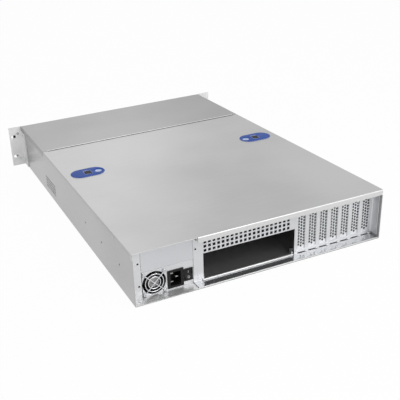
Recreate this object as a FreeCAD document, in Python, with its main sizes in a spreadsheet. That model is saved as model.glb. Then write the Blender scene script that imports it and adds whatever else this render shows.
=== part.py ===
import FreeCAD, Part
import math
import os
import Sketcher

# An empty 2U rackmount server case. X runs across it, Y runs from its front to its rear, Z is up.
# The origin is on the underside, midway between the sides, in the plane where the ears meet the rack.

SIZES = (
    # the case as a whole
    ("case_width", 430.0, "over the side flanges of the covers"),
    ("case_depth", 640.0, "rack plane to the rear edge of the floor"),
    ("case_height", 86.0, "underside to the top of the covers"),
    ("sheet", 1.2, "steel of the tray, panels and brackets"),
    ("cover_sheet", 1.0, "steel of the two covers"),
    ("bend", 0.8, "inside radius of every fold"),
    ("fit_gap", 0.3, "clearance between pieces that slide or drop in"),
    # covers
    ("cover_seam", 182.0, "rack plane to the seam between the covers"),
    ("seam_gap", 1.2, "width of that seam"),
    ("cover_flange", 9.0, "height of the turned-down edges"),
    ("tray_flange", 12.0, "width of the tray's turned-in top edges"),
    # rear wall
    ("rear_recess", 18.0, "depth of the rear wall inside the case"),
    ("wall_foot", 17.0, "foot of the rear wall on the floor"),
    ("wall_return", 14.0, "edge of the rear wall, folded back along the side wall"),
    ("return_gap", 3.0, "foot and ledge of the rear wall to that edge"),
    ("ledge_depth", 12.0, "ledge that the slot covers are screwed to"),
    ("ledge_drop", 7.8, "top of the covers to the ledge"),
    ("bay_play", 1.6, "room across the bay beside the power supply"),
    ("io_width", 158.75, "board aperture, across"),
    ("io_height", 44.45, "board aperture, up"),
    ("vent_size", 4.6, "side of a square rear vent"),
    ("vent_pitch", 7.55, "rear vents, across"),
    ("vent_rise", 7.0, "rear vents, up"),
    ("vent_gap", 4.35, "board aperture to the middle of the lowest row of rear vents"),
    ("vent_inset", 3.2, "board aperture's far side to the first column of rear vents"),
    ("vent_count", 20, "rear vents in a row"),
    ("vent_rows", 3, "rows of rear vents"),
    ("tie_inset", 3.8, "edge of the bay to the fixing hole"),
    ("tie_height", 57.4, "height of that hole"),
    ("tie_hole", 3.2, "diameter of that hole"),
    # expansion slots
    ("slot_inset", 14.28, "side wall to the middle of the last slot"),
    ("io_inset", 12.75, "middle of the first slot to the board aperture"),
    ("slot_pitch", 20.32, "slot to slot"),
    ("slot_count", 7, "number of slots"),
    ("window_width", 13.4, "slot window"),
    ("window_base", 8.6, "height of its lower edge"),
    ("window_drop", 5.8, "ledge to its upper edge"),
    ("slit_width", 12.6, "slit in the fold of the foot under each slot"),
    ("slit_height", 2.2, "that slit, above the floor"),
    ("blank_sheet", 0.8, "steel of a slot cover"),
    ("blank_width", 18.4, "slot cover"),
    ("tongue_width", 10.2, "its lower end"),
    ("tongue_height", 7.4, "where the lower end narrows"),
    ("perf_hole", 3.8, "hexagonal perforation, corner to corner"),
    ("perf_pitch", 4.4, "columns of perforations"),
    ("perf_rise", 5.1, "rows of perforations"),
    ("perf_base", 14.0, "height of the lowest row"),
    ("perf_count", 11, "rows of perforations"),
    ("screw_head", 6.4, "hexagonal screw head, corner to corner"),
    ("screw_height", 2.4, "screw head"),
    # power supply bay
    ("angle_width", 17.8, "upright angle beside the power supply"),
    ("angle_leg", 12.0, "its leg on the side wall"),
    ("angle_hole", 4.2, "its edge to its fixing holes"),
    ("supply_width", 81.5, "power supply"),
    ("supply_height", 40.5, "power supply"),
    ("supply_depth", 150.0, "power supply"),
    ("fan_bore", 37.4, "power supply fan opening"),
    ("fan_inset", 18.6, "fan centre to the far edge of the supply"),
    ("fan_height", 19.6, "fan centre above the supply's underside"),
    ("fan_depth", 20.0, "depth of the fan's opening"),
    ("hub_size", 16.0, "power supply fan hub"),
    ("hub_depth", 9.0, "power supply fan hub"),
    ("blade_gap", 1.0, "blade tips to the bore"),
    ("blade_count", 7, "blades on a fan"),
    ("blade_slant", 50.0, "pitch of the blades, in degrees"),
    ("seat_depth", 2.4, "motor seat of the power supply fan"),
    ("shaft_size", 3.0, "fan shaft"),
    ("shaft_play", 0.05, "running clearance round a fan shaft"),
    ("guard_wire", 1.3, "wire of the fan guard"),
    ("guard_ring", 28.8, "outer ring of the fan guard"),
    ("guard_step", 9.6, "ring to ring, across"),
    ("guard_rings", 2, "rings of the fan guard"),
    ("guard_screws", 32.0, "spacing of the fan screws"),
    ("guard_head", 5.2, "fan screw head, corner to corner"),
    ("inlet_width", 26.0, "power inlet flange"),
    ("inlet_height", 30.0, "power inlet flange"),
    ("inlet_inset", 39.3, "far side of the power supply to the inlet"),
    ("inlet_base", 3.4, "height of its lower edge"),
    ("flange_proud", 1.0, "inlet and switch flanges, above the face"),
    ("socket_width", 16.6, "inlet recess, across"),
    ("socket_height", 23.0, "inlet recess, up"),
    ("socket_depth", 16.0, "inlet recess, in"),
    ("pin_width", 4.0, "inlet pin, across"),
    ("pin_sheet", 2.0, "inlet pin, up"),
    ("pin_rise", 7.0, "inlet's middle to its upper pins"),
    ("switch_width", 14.6, "switch frame"),
    ("switch_height", 20.6, "switch frame"),
    ("switch_inset", 65.8, "far side of the power supply to the switch"),
    ("switch_base", 9.0, "height of its lower edge"),
    ("switch_rim", 1.6, "rim of the switch frame"),
    ("switch_tilt", 9.0, "rest angle of the rocker, in degrees"),
    ("rocker_slope", 1.7, "rise of a rocker face from its middle to its end"),
    # cover latches
    ("latch_inset", 44.0, "side of the case to a latch"),
    ("latch_y", 327.0, "rack plane to the latches"),
    ("latch_length", 66.0, "latch plate, across"),
    ("latch_width", 38.0, "latch plate, front to rear"),
    ("latch_rim", 2.0, "plate edge that lies on the cover"),
    ("latch_proud", 0.8, "plate above the cover"),
    ("latch_depth", 6.0, "plate body below the cover's top"),
    ("button_width", 11.0, "latch button, across"),
    ("button_length", 14.6, "latch button, front to rear"),
    ("button_sink", 0.6, "button top below the plate's top"),
    ("dish_offset", 20.0, "latch centre to its thumb dish"),
    ("dish_size", 16.0, "thumb dish"),
    ("dish_floor", 6.0, "flat floor of the thumb dish"),
    ("dish_depth", 1.8, "thumb dish"),
    ("stem_size", 5.0, "stem under a latch button"),
    ("cover_travel", 12.0, "stroke of the rear cover"),
    # front
    ("ear_reach", 26.3, "ear, beyond the side of the case"),
    ("ear_sheet", 2.0, "steel of the ears"),
    ("ear_leg", 30.0, "leg of an ear on the side wall"),
    ("rack_inset", 8.75, "rack hole centres to the outer edge of an ear"),
    ("rack_rise", 44.45, "rack hole centres, up"),
    ("rack_slot", 10.4, "length of a rack slot"),
    ("rack_hole", 6.8, "width of a rack slot"),
    ("handle_inset", 18.3, "middle of a handle to the outer edge of an ear"),
    ("handle_span", 57.0, "handle screws, up"),
    ("handle_bar", 8.0, "thickness of a handle"),
    ("handle_reach", 36.0, "handle, out from the ear"),
    ("handle_round", 11.2, "outer radius of a handle's bends"),
    # inside
    ("brace_y", 312.0, "rack plane to the cross brace"),
    ("brace_depth", 42.0, "cross brace, front to rear"),
    ("brace_drop", 10.0, "top of the covers to the cross brace"),
    ("brace_flange", 14.0, "turned-down edges of the cross brace"),
    ("wall_y", 176.0, "rack plane to the fan wall"),
    ("wall_drop", 3.0, "top of the covers to the fan wall"),
    ("wall_flange", 12.0, "folded edges of the fan wall"),
    ("cable_width", 16.0, "cable opening between two case fans"),
    ("cable_height", 56.0, "cable opening between two case fans"),
    ("blower_drop", 4.0, "top of the covers to the case fans"),
    ("blower_depth", 25.0, "case fan"),
    ("blower_rim", 2.0, "case fan's frame at its thinnest"),
    ("blower_pitch", 105.0, "case fan to case fan"),
    ("blower_hub", 34.0, "case fan hub"),
    ("blower_seat", 3.6, "motor seat of a case fan"),
    ("board_inset", 22.0, "side wall to the outer column of standoffs"),
    ("board_middle", 124.46, "outer column of standoffs to the middle one"),
    ("board_edge", 20.16, "edge of the bay to the far column of standoffs"),
    ("board_rear", 10.16, "rear wall to the first row of standoffs"),
    ("board_second", 165.1, "rear wall to the second row"),
    ("board_third", 237.49, "rear wall to the third row"),
    ("standoff_size", 6.4, "board standoff, corner to corner"),
    ("standoff_height", 6.5, "board standoff"),
    # side walls
    ("rail_first", 430.0, "rack plane to the first rail hole"),
    ("rail_pitch", 78.0, "rail hole to rail hole"),
    ("rail_hole", 3.4, "diameter of a rail hole"),
    ("rail_count", 3, "rail holes in a side wall"),
    ("gill_size", 3.6, "side of a square side vent"),
    ("gill_pitch", 6.0, "side vents, along and up"),
    ("gill_first", 184.0, "rack plane to the first side vent"),
    ("gill_base", 18.0, "height of the lowest side vents"),
    ("gill_count", 11, "side vents in a row"),
    ("gill_rows", 4, "rows of side vents"),
    # front controls
    ("front_vent", 5.0, "width of a front vent"),
    ("front_rise", 26.0, "height of a front vent"),
    ("front_pitch", 12.0, "front vent to front vent"),
    ("front_count", 24, "front vents in a row"),
    ("control_inset", 25.0, "side of the case to the front controls"),
    ("power_size", 12.0, "power button"),
    ("power_height", 58.0, "height of the power button"),
    ("reset_size", 6.0, "reset button"),
    ("reset_height", 40.0, "height of the reset button"),
    ("light_size", 4.0, "side of an indicator light"),
    ("light_height", 26.0, "height of the upper indicator light"),
    ("light_pitch", 8.0, "between the indicator lights"),
)

doc = FreeCAD.newDocument("RackCase")
sheet = doc.addObject("Spreadsheet::Sheet", "Sizes")


class Dim:
    """A size: its number, and the sheet expression that gives it."""

    def __init__(self, value, text):
        self.value = float(value)
        self.text = text

    def __add__(self, other):
        return Dim(self.value + dim(other).value, f"({self.text} + {dim(other).text})")

    def __sub__(self, other):
        return Dim(self.value - dim(other).value, f"({self.text} - {dim(other).text})")

    def __mul__(self, other):
        return Dim(self.value * dim(other).value, f"({self.text} * {dim(other).text})")

    def __truediv__(self, other):
        return Dim(self.value / dim(other).value, f"({self.text} / {dim(other).text})")

    def __radd__(self, other):
        return dim(other) + self

    def __rsub__(self, other):
        return dim(other) - self

    __rmul__ = __mul__

    def __neg__(self):
        return dim(0) - self


def dim(value):
    """The value as a Dim."""
    return value if isinstance(value, Dim) else Dim(value, f"({float(value)!r})")


def counted(size):
    """The steps of a count."""
    return range(int(size.value))


class Sizes:
    """The sheet's sizes, each under its own name."""


def fill_sheet():
    """Write the driving sizes into the sheet and return them by name."""
    named = Sizes()
    for row, (alias, number, note) in enumerate(SIZES, start=1):
        sheet.set(f"A{row}", alias)
        sheet.set(f"B{row}", str(number))
        sheet.set(f"C{row}", note)
        sheet.setAlias(f"B{row}", alias)
        setattr(named, alias, Dim(number, f"Sizes.{alias}"))
    doc.recompute()
    return named


S = fill_sheet()

# places that several pieces share
WALL_X = S.case_width / 2 - S.cover_sheet - S.fit_gap  # outer face of a side wall
INNER_X = WALL_X - S.sheet  # inner face of a side wall
TRAY_TOP = S.case_height - S.cover_sheet - S.fit_gap  # top of the tray's folded edges
REAR_Y = S.case_depth - S.rear_recess  # rear face of the recessed rear wall
FLANGE_Z = S.case_height - S.cover_flange  # lower edge of the covers' flanges
LEDGE_Z = S.case_height - S.ledge_drop  # top of the rear wall's ledge
BRACE_Z = S.case_height - S.brace_drop  # top of the cross brace
COVER_FRONT = S.cover_seam + S.seam_gap  # front edge of the sliding cover
FOLD = S.bend + S.sheet  # outside radius of a fold in the tray steel
COVER_FOLD = S.bend + S.cover_sheet  # outside radius of a fold in the cover steel
BAY_EDGE = INNER_X - S.angle_width - S.supply_width - S.bay_play  # near side of the supply bay
SLOT_X = INNER_X - S.slot_inset - S.slot_pitch * (S.slot_count - 1)  # centre line to the first slot
IO_LEFT = S.io_width + S.io_inset - SLOT_X  # centre line to the far side of the board aperture
SUPPLY_X = BAY_EDGE + S.fit_gap * 2  # near side of the power supply
SUPPLY_FAR = SUPPLY_X + S.supply_width  # far side of the power supply
FAN_X = SUPPLY_FAR - S.fan_inset
INLET_FAR = SUPPLY_FAR - S.inlet_inset  # far side of the inlet
SWITCH_FAR = SUPPLY_FAR - S.switch_inset  # far side of the mains switch
FAN_Z = S.sheet + S.fan_height
MID_Z = S.case_height / 2
LATCH_X = S.case_width / 2 - S.latch_inset
CONTROL_X = S.case_width / 2 - S.control_inset
EAR_X = S.case_width / 2 + S.ear_reach  # outer edge of an ear
HANDLE_X = EAR_X - S.handle_inset
BLOWER = S.case_height - S.blower_drop - FOLD  # side of a case fan
BLOWER_BORE = BLOWER - S.blower_rim * 2
BLOWER_Z = FOLD + BLOWER / 2

parts = []


def bind(thing, name, value):
    """Tie a property to the sheet."""
    thing.setExpression(name, dim(value).text)


def keep(thing, label):
    """Name a finished sub-part."""
    thing.Label = label
    parts.append(thing)
    return thing


def locate(thing, place):
    """Tie an object's place to the sheet."""
    for letter, value in zip("xyz", place):
        bind(thing, f"Placement.Base.{letter}", value)


# ---- PartDesign helpers


def new_body(name):
    return doc.addObject("PartDesign::Body", name + "_body")


def origin_feature(body, role):
    return [item for item in body.Origin.OriginFeatures if item.Role == role][0]


def new_sketch(body, role, offset=0):
    """A sketch on one of the body's own planes, moved along that plane's normal."""
    sketch = body.newObject("Sketcher::SketchObject", "Outline")
    sketch.AttachmentSupport = [(origin_feature(body, role), "")]
    sketch.MapMode = "FlatFace"
    bind(sketch, "AttachmentOffset.Base.z", offset)
    return sketch


def hold(sketch, geometry, point, x, y):
    """Hold a point of the sketch at its distances from the origin."""
    for kind, value in (("DistanceX", dim(x)), ("DistanceY", dim(y))):
        index = sketch.addConstraint(Sketcher.Constraint(kind, -1, 1, geometry, point, value.value))
        bind(sketch, f"Constraints[{index}]", value)


def hold_radius(sketch, geometry, radius):
    index = sketch.addConstraint(Sketcher.Constraint("Radius", geometry, dim(radius).value))
    bind(sketch, f"Constraints[{index}]", radius)


def polygon(sketch, corners):
    """A closed outline through the corners."""
    first = sketch.GeometryCount
    spots = [FreeCAD.Vector(dim(x).value, dim(y).value, 0) for x, y in corners]
    for start, end in zip(spots, spots[1:] + spots[:1]):
        sketch.addGeometry(Part.LineSegment(start, end), False)
    for index, (x, y) in enumerate(corners):
        following = first + (index + 1) % len(corners)
        sketch.addConstraint(Sketcher.Constraint("Coincident", first + index, 2, following, 1))
        hold(sketch, first + index, 1, x, y)


def rectangle(sketch, left, low, right, high):
    polygon(sketch, [(left, low), (right, low), (right, high), (left, high)])


def square(sketch, x, y, side):
    rectangle(sketch, x - side / 2, y - side / 2, x + side / 2, y + side / 2)


def hexagon(sketch, x, y, across):
    """A hexagon with a corner at each side, across its corners."""
    corners = []
    for step in range(6):
        angle = math.radians(60 * step)
        corners.append((x + across * (math.cos(angle) / 2), y + across * (math.sin(angle) / 2)))
    polygon(sketch, corners)


def circle(sketch, x, y, diameter):
    centre = FreeCAD.Vector(dim(x).value, dim(y).value, 0)
    index = sketch.addGeometry(Part.Circle(centre, FreeCAD.Vector(0, 0, 1), dim(diameter).value / 2), False)
    hold(sketch, index, 3, x, y)
    hold_radius(sketch, index, dim(diameter) / 2)


def stadium(sketch, x, y, length, width):
    """A slot with round ends, its length along the sketch's first axis."""
    radius = width / 2
    reach = length / 2 - radius
    up = FreeCAD.Vector(0, 0, 1)
    left = FreeCAD.Vector((x - reach).value, y.value, 0)
    right = FreeCAD.Vector((x + reach).value, y.value, 0)
    rise = FreeCAD.Vector(0, radius.value, 0)
    quarter = math.pi / 2
    ends = [Part.Circle(centre, up, radius.value) for centre in (left, right)]
    west = sketch.addGeometry(Part.ArcOfCircle(ends[0], quarter, 3 * quarter), False)
    east = sketch.addGeometry(Part.ArcOfCircle(ends[1], -quarter, quarter), False)
    low = sketch.addGeometry(Part.LineSegment(left - rise, right - rise), False)
    top = sketch.addGeometry(Part.LineSegment(right + rise, left + rise), False)
    joins = ((west, 2, low, 1), (low, 2, east, 1), (east, 2, top, 1), (top, 2, west, 1))
    for one, end, other, start in joins:
        sketch.addConstraint(Sketcher.Constraint("Tangent", one, end, other, start))
    for arc, middle in ((west, x - reach), (east, x + reach)):
        hold(sketch, arc, 3, middle, y)
        hold_radius(sketch, arc, radius)


def pad(body, sketch, length, reverse=False, both=False):
    """Raise a sketch along its plane's normal, or against it, or both ways."""
    feature = body.newObject("PartDesign::Pad", "Pad")
    feature.Profile = sketch
    feature.Reversed = reverse
    feature.Midplane = both
    bind(feature, "Length", length)
    sketch.Visibility = False
    return feature


def pierce(body, sketch):
    """Cut a sketch through everything, both ways."""
    feature = body.newObject("PartDesign::Pocket", "Pierce")
    feature.Profile = sketch
    feature.Type = "ThroughAll"
    feature.Midplane = True
    return feature


def sink(body, sketch, depth, reverse=False):
    """Cut a sketch to a depth against its plane's normal, or along it."""
    feature = body.newObject("PartDesign::Pocket", "Sink")
    feature.Profile = sketch
    feature.Reversed = reverse
    bind(feature, "Length", depth)
    return feature


def repeat(body, feature, role, pitch, count, reverse=False):
    """Repeat a cut along one of the body's axes."""
    pattern = body.newObject("PartDesign::LinearPattern", "Row")
    pattern.Originals = [feature]
    pattern.Direction = (origin_feature(body, role), [""])
    pattern.Reversed = reverse
    bind(pattern, "Length", pitch * (count - 1))
    bind(pattern, "Occurrences", count)
    body.Tip = pattern
    return pattern


def edges_along(feature, axis, spots, stop=None):
    """Names of the edges along an axis through the spots, each given by its other two coordinates.

    With a stop, an edge that lies wholly past it is left out.
    """
    near = 1e-3
    others = [index for index in range(3) if index != axis]
    names = []
    for number, edge in enumerate(feature.Shape.Edges, start=1):
        start, end = edge.Vertexes[0].Point, edge.Vertexes[-1].Point
        if abs(start[axis] - end[axis]) < near:
            continue
        if stop is not None and min(start[axis], end[axis]) > dim(stop).value - near:
            continue
        for spot in spots:
            gaps = [abs(point[at] - dim(value).value)
                    for point in (start, end) for at, value in zip(others, spot)]
            if max(gaps) < near:
                names.append(f"Edge{number}")
    return names


def soften(body, feature, axis, spots, radius, stop=None):
    """Round the edges along an axis through the spots, up to the stop."""
    doc.recompute()
    rounding = body.newObject("PartDesign::Fillet", "Fold")
    rounding.Base = (feature, edges_along(feature, axis, spots, stop))
    bind(rounding, "Radius", radius)
    return rounding


# ---- Part helpers


def block(size, corner):
    thing = doc.addObject("Part::Box", "Block")
    for name, value in zip(("Length", "Width", "Height"), size):
        bind(thing, name, value)
    locate(thing, corner)
    return thing


def rod(diameter, length, foot, turn=None):
    """A cylinder from its foot, along Z or turned."""
    thing = doc.addObject("Part::Cylinder", "Rod")
    if turn:
        thing.Placement.Rotation = turn
    bind(thing, "Radius", dim(diameter) / 2)
    bind(thing, "Height", length)
    locate(thing, foot)
    return thing


def bar(across, length, foot, turn=None):
    """A hexagonal prism from its foot, along Z or turned."""
    thing = doc.addObject("Part::Prism", "Bar")
    thing.Polygon = 6
    if turn:
        thing.Placement.Rotation = turn
    bind(thing, "Circumradius", dim(across) / 2)
    bind(thing, "Height", length)
    locate(thing, foot)
    return thing


def cut(base, tools):
    thing = doc.addObject("Part::Cut", "Cut")
    thing.Base = base
    thing.Tool = tools[0] if len(tools) == 1 else fuse(tools)
    return thing


def fuse(pieces):
    thing = doc.addObject("Part::MultiFuse", "Fuse")
    thing.Shapes = pieces
    thing.Refine = True
    return thing


def group(pieces):
    thing = doc.addObject("Part::Compound", "Group")
    thing.Links = pieces
    return thing


TO_REAR = FreeCAD.Rotation(FreeCAD.Vector(1, 0, 0), -90)  # turns Z to +Y
TO_FRONT = FreeCAD.Rotation(FreeCAD.Vector(1, 0, 0), 90)  # turns Z to -Y


# ---- the tray and covers


def base_tray():
    """The floor and both side walls, folded from one sheet, with turned-in top edges."""
    body = new_body("base_tray")
    outline = new_sketch(body, "XZ_Plane", S.sheet)
    lip = WALL_X - S.tray_flange
    low, high = S.sheet, TRAY_TOP - S.sheet
    half = [(WALL_X, dim(0)), (WALL_X, TRAY_TOP), (lip, TRAY_TOP)]
    half += [(lip, high), (INNER_X, high), (INNER_X, low)]
    polygon(outline, half + [(-x, z) for x, z in reversed(half)])
    shell = pad(body, outline, S.case_depth + S.sheet, reverse=True)
    outer = [(side * WALL_X, z) for side in (-1, 1) for z in (0, TRAY_TOP)]
    inner = [(side * INNER_X, z) for side in (-1, 1) for z in (low, high)]
    folded = soften(body, shell, 1, outer, FOLD)
    soften(body, folded, 1, inner, S.bend)
    corner = new_sketch(body, "YZ_Plane")
    step = REAR_Y - S.sheet - S.fit_gap
    notch = S.case_depth - S.cover_sheet - S.fit_gap * 2
    rear = S.case_depth + S.cover_sheet
    relief = [(step, high - S.fit_gap), (notch, high - S.fit_gap), (notch, FLANGE_Z - S.fit_gap)]
    relief += [(rear, FLANGE_Z - S.fit_gap), (rear, S.case_height), (step, S.case_height)]
    polygon(corner, relief)
    pierce(body, corner)
    holes = new_sketch(body, "YZ_Plane")
    circle(holes, S.rail_first, MID_Z, S.rail_hole)
    repeat(body, pierce(body, holes), "Y_Axis", S.rail_pitch, S.rail_count)
    gills = new_sketch(body, "YZ_Plane", WALL_X + S.sheet)
    for row in counted(S.gill_rows):
        square(gills, S.gill_first, S.gill_base + S.gill_pitch * row, S.gill_size)
    repeat(body, sink(body, gills, S.sheet * 3), "Y_Axis", S.gill_pitch, S.gill_count)
    return keep(body, "base_tray")


def cover_shell(body, front, depth):
    """A flat top with both sides turned down."""
    half_width = S.case_width / 2
    inside = half_width - S.cover_sheet
    under = S.case_height - S.cover_sheet
    outline = new_sketch(body, "XZ_Plane", -front)
    half = [(inside, under), (inside, FLANGE_Z), (half_width, FLANGE_Z), (half_width, S.case_height)]
    polygon(outline, half + [(-x, z) for x, z in reversed(half)])
    shell = pad(body, outline, depth, reverse=True)
    folded = soften(body, shell, 1, [(side * half_width, S.case_height) for side in (-1, 1)], COVER_FOLD)
    return soften(body, folded, 1, [(side * inside, under) for side in (-1, 1)], S.bend)


def front_cover():
    """The fixed cover over the front of the case."""
    body = new_body("front_cover")
    cover_shell(body, S.fit_gap, S.cover_seam - S.fit_gap)
    return keep(body, "front_cover")


def top_cover():
    """The sliding cover, with a rear flange that stops short of the power supply bay."""
    body = new_body("top_cover")
    depth = S.case_depth - COVER_FRONT
    cover_shell(body, COVER_FRONT, depth)
    end = S.case_depth - S.cover_sheet
    turn = S.case_depth - COVER_FOLD - S.fit_gap
    beyond = S.case_depth + S.cover_sheet
    corner = -S.case_width / 2 + COVER_FOLD + S.fit_gap
    relief = new_sketch(body, "XY_Plane")
    rectangle(relief, -S.case_width, turn, corner, beyond)
    rectangle(relief, BAY_EDGE, turn, BAY_EDGE + S.sheet, beyond)
    pierce(body, relief)
    flange = new_sketch(body, "XZ_Plane", -S.case_depth)
    under = S.case_height - S.cover_sheet
    rectangle(flange, corner, FLANGE_Z, BAY_EDGE, under)
    hung = pad(body, flange, S.cover_sheet)
    hung = soften(body, hung, 0, [(S.case_depth, S.case_height)], COVER_FOLD, BAY_EDGE)
    soften(body, hung, 0, [(end, under)], S.bend, BAY_EDGE)
    cutouts = new_sketch(body, "XY_Plane")
    for side in (-1, 1):
        stadium(cutouts, side * LATCH_X, S.latch_y, S.latch_length - S.latch_rim * 2,
                S.latch_width - S.latch_rim * 2)
    pierce(body, cutouts)
    return keep(body, "top_cover")


# ---- the rear wall


def rear_panel():
    """The recessed rear wall with its foot, ledge, folded edge, board aperture, vents and slot windows."""
    body = new_body("rear_panel")
    face, back = REAR_Y, REAR_Y - S.sheet
    left = INNER_X - S.fit_gap
    outline = new_sketch(body, "YZ_Plane", -left)
    foot, ledge = face + S.wall_foot, face + S.ledge_depth
    polygon(outline, [
        (back, S.sheet), (foot, S.sheet), (foot, S.sheet * 2), (face, S.sheet * 2),
        (face, LEDGE_Z - S.sheet), (ledge, LEDGE_Z - S.sheet),
        (ledge, LEDGE_Z), (back, LEDGE_Z)])
    wall = pad(body, outline, left + BAY_EDGE)
    wall = soften(body, wall, 0, [(back, S.sheet), (back, LEDGE_Z)], FOLD)
    soften(body, wall, 0, [(face, S.sheet * 2), (face, LEDGE_Z - S.sheet)], S.bend)
    openings = new_sketch(body, "XZ_Plane")
    rectangle(openings, IO_LEFT - S.io_width, S.sheet * 2, IO_LEFT, S.sheet * 2 + S.io_height)
    circle(openings, BAY_EDGE - S.tie_inset, S.tie_height, S.tie_hole)
    rectangle(openings, -INNER_X, dim(0), S.bend - left, S.sheet + S.bend)
    pierce(body, openings)
    vents = new_sketch(body, "XZ_Plane")
    base = S.sheet * 2 + S.io_height + S.vent_gap
    for row in counted(S.vent_rows):
        square(vents, IO_LEFT - S.vent_inset, base + S.vent_rise * row, S.vent_size)
    repeat(body, pierce(body, vents), "X_Axis", S.vent_pitch, S.vent_count, reverse=True)
    window = new_sketch(body, "XZ_Plane")
    rectangle(window, -SLOT_X - S.window_width / 2, S.window_base,
              -SLOT_X + S.window_width / 2, LEDGE_Z - S.window_drop)
    repeat(body, pierce(body, window), "X_Axis", S.slot_pitch, S.slot_count, reverse=True)
    slit = new_sketch(body, "XZ_Plane", S.fit_gap - back)
    rectangle(slit, -SLOT_X - S.slit_width / 2, S.sheet / 2,
              -SLOT_X + S.slit_width / 2, S.sheet + S.slit_height)
    opened = sink(body, slit, S.sheet * 2 + S.fit_gap)
    repeat(body, opened, "X_Axis", S.slot_pitch, S.slot_count, reverse=True)
    edge = new_sketch(body, "XY_Plane", S.sheet * 2 + S.return_gap)
    rectangle(edge, -left, back, S.sheet - left, face + S.wall_return)
    turned = pad(body, edge, LEDGE_Z - S.sheet * 3 - S.return_gap * 2)
    soften(body, turned, 2, [(S.sheet - left, face)], FOLD)
    return keep(body, "rear_panel")


def slot_cover(number):
    """A perforated blanking bracket: plate, turned-over tab and narrow lower tongue."""
    label = f"slot_cover_{number + 1}"
    body = new_body(label)
    near = REAR_Y - S.sheet
    far = near - S.blank_sheet
    top = LEDGE_Z + S.blank_sheet
    end = REAR_Y + S.ledge_depth - S.blank_sheet
    outline = new_sketch(body, "YZ_Plane")
    low = S.sheet + S.slit_height
    polygon(outline, [(far, low), (near, low), (near, LEDGE_Z), (end, LEDGE_Z), (end, top), (far, top)])
    pad(body, outline, S.blank_width, both=True)
    shoulders = new_sketch(body, "XZ_Plane")
    for side in (-1, 1):
        outer = side * S.blank_width
        inner = side * S.tongue_width / 2
        rectangle(shoulders, inner, dim(0), outer, S.tongue_height)
    pierce(body, shoulders)
    holes = new_sketch(body, "XZ_Plane")
    for column in (-1, 0, 1):
        stagger = S.perf_rise / 2 if column else dim(0)
        hexagon(holes, S.perf_pitch * column, S.perf_base + stagger, S.perf_hole)
    repeat(body, pierce(body, holes), "Z_Axis", S.perf_rise, S.perf_count)
    bind(body, "Placement.Base.x", -SLOT_X - S.slot_pitch * number)
    return keep(body, label)


def slot_cover_screws():
    """One hexagonal screw head on each slot cover's tab."""
    heads = []
    for number in counted(S.slot_count):
        spot = (-SLOT_X - S.slot_pitch * number, REAR_Y + S.ledge_depth / 2, LEDGE_Z + S.blank_sheet)
        heads.append(bar(S.screw_head, S.screw_height, spot))
    return keep(group(heads), "slot_cover_screws")


def rear_left_angle():
    """The upright angle between the power supply and the side wall."""
    body = new_body("rear_left_angle")
    wall = INNER_X
    edge = wall - S.angle_width
    back = REAR_Y - S.sheet
    inner = wall - S.sheet
    front = REAR_Y - S.angle_leg
    outline = new_sketch(body, "XY_Plane", S.sheet)
    polygon(outline, [(edge, REAR_Y), (edge, back), (inner, back),
                      (inner, front), (wall, front), (wall, REAR_Y)])
    post = pad(body, outline, TRAY_TOP - S.sheet)
    post = soften(body, post, 2, [(wall, REAR_Y)], FOLD)
    soften(body, post, 2, [(inner, back)], S.bend)
    notch = new_sketch(body, "YZ_Plane")
    rectangle(notch, front - S.sheet, LEDGE_Z, back, S.case_height)
    pierce(body, notch)
    holes = new_sketch(body, "XZ_Plane")
    middle = edge + S.angle_hole
    circle(holes, middle, S.tie_height, S.tie_hole)
    circle(holes, middle, S.supply_height / 2, S.tie_hole)
    rectangle(holes, wall - S.bend, dim(0), wall + S.sheet, S.sheet + S.bend)
    pierce(body, holes)
    return keep(body, "rear_left_angle")


def supply_blank():
    """The plate that closes the bay above the power supply, with a turned-back top edge."""
    body = new_body("supply_blank_plate")
    left, right = SUPPLY_X - S.fit_gap, INNER_X - S.angle_width - S.fit_gap
    back = REAR_Y - S.sheet
    low = S.sheet + S.supply_height + S.fit_gap
    ledge = REAR_Y + S.ledge_depth
    outline = new_sketch(body, "YZ_Plane", left)
    polygon(outline, [(back, low), (REAR_Y, low), (REAR_Y, TRAY_TOP - S.sheet),
                      (ledge, TRAY_TOP - S.sheet), (ledge, TRAY_TOP), (back, TRAY_TOP)])
    plate = pad(body, outline, right - left)
    plate = soften(body, plate, 0, [(back, TRAY_TOP)], FOLD)
    soften(body, plate, 0, [(REAR_Y, TRAY_TOP - S.sheet)], S.bend)
    return keep(body, "supply_blank_plate")


# ---- the power supply


def supply_housing():
    """The power supply's box, open at the fan, the inlet and the switch."""
    box = block((S.supply_width, S.supply_depth, S.supply_height),
                (SUPPLY_X, REAR_Y - S.supply_depth, S.sheet))
    bore = rod(S.fan_bore, S.fan_depth + S.sheet, (FAN_X, REAR_Y - S.fan_depth, FAN_Z), TO_REAR)
    wall = S.fit_gap * 4
    inlet = block((S.inlet_width - wall, S.socket_depth + S.sheet * 3, S.inlet_height - wall),
                  (INLET_FAR - S.inlet_width + wall / 2, REAR_Y - S.socket_depth - S.sheet * 2,
                   S.inlet_base + wall / 2))
    switch = block((S.switch_width - wall, S.socket_depth + S.sheet, S.switch_height - wall),
                   (SWITCH_FAR - S.switch_width + wall / 2, REAR_Y - S.socket_depth,
                    S.switch_base + wall / 2))
    return keep(cut(box, [bore, inlet, switch]), "supply_housing")


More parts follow.
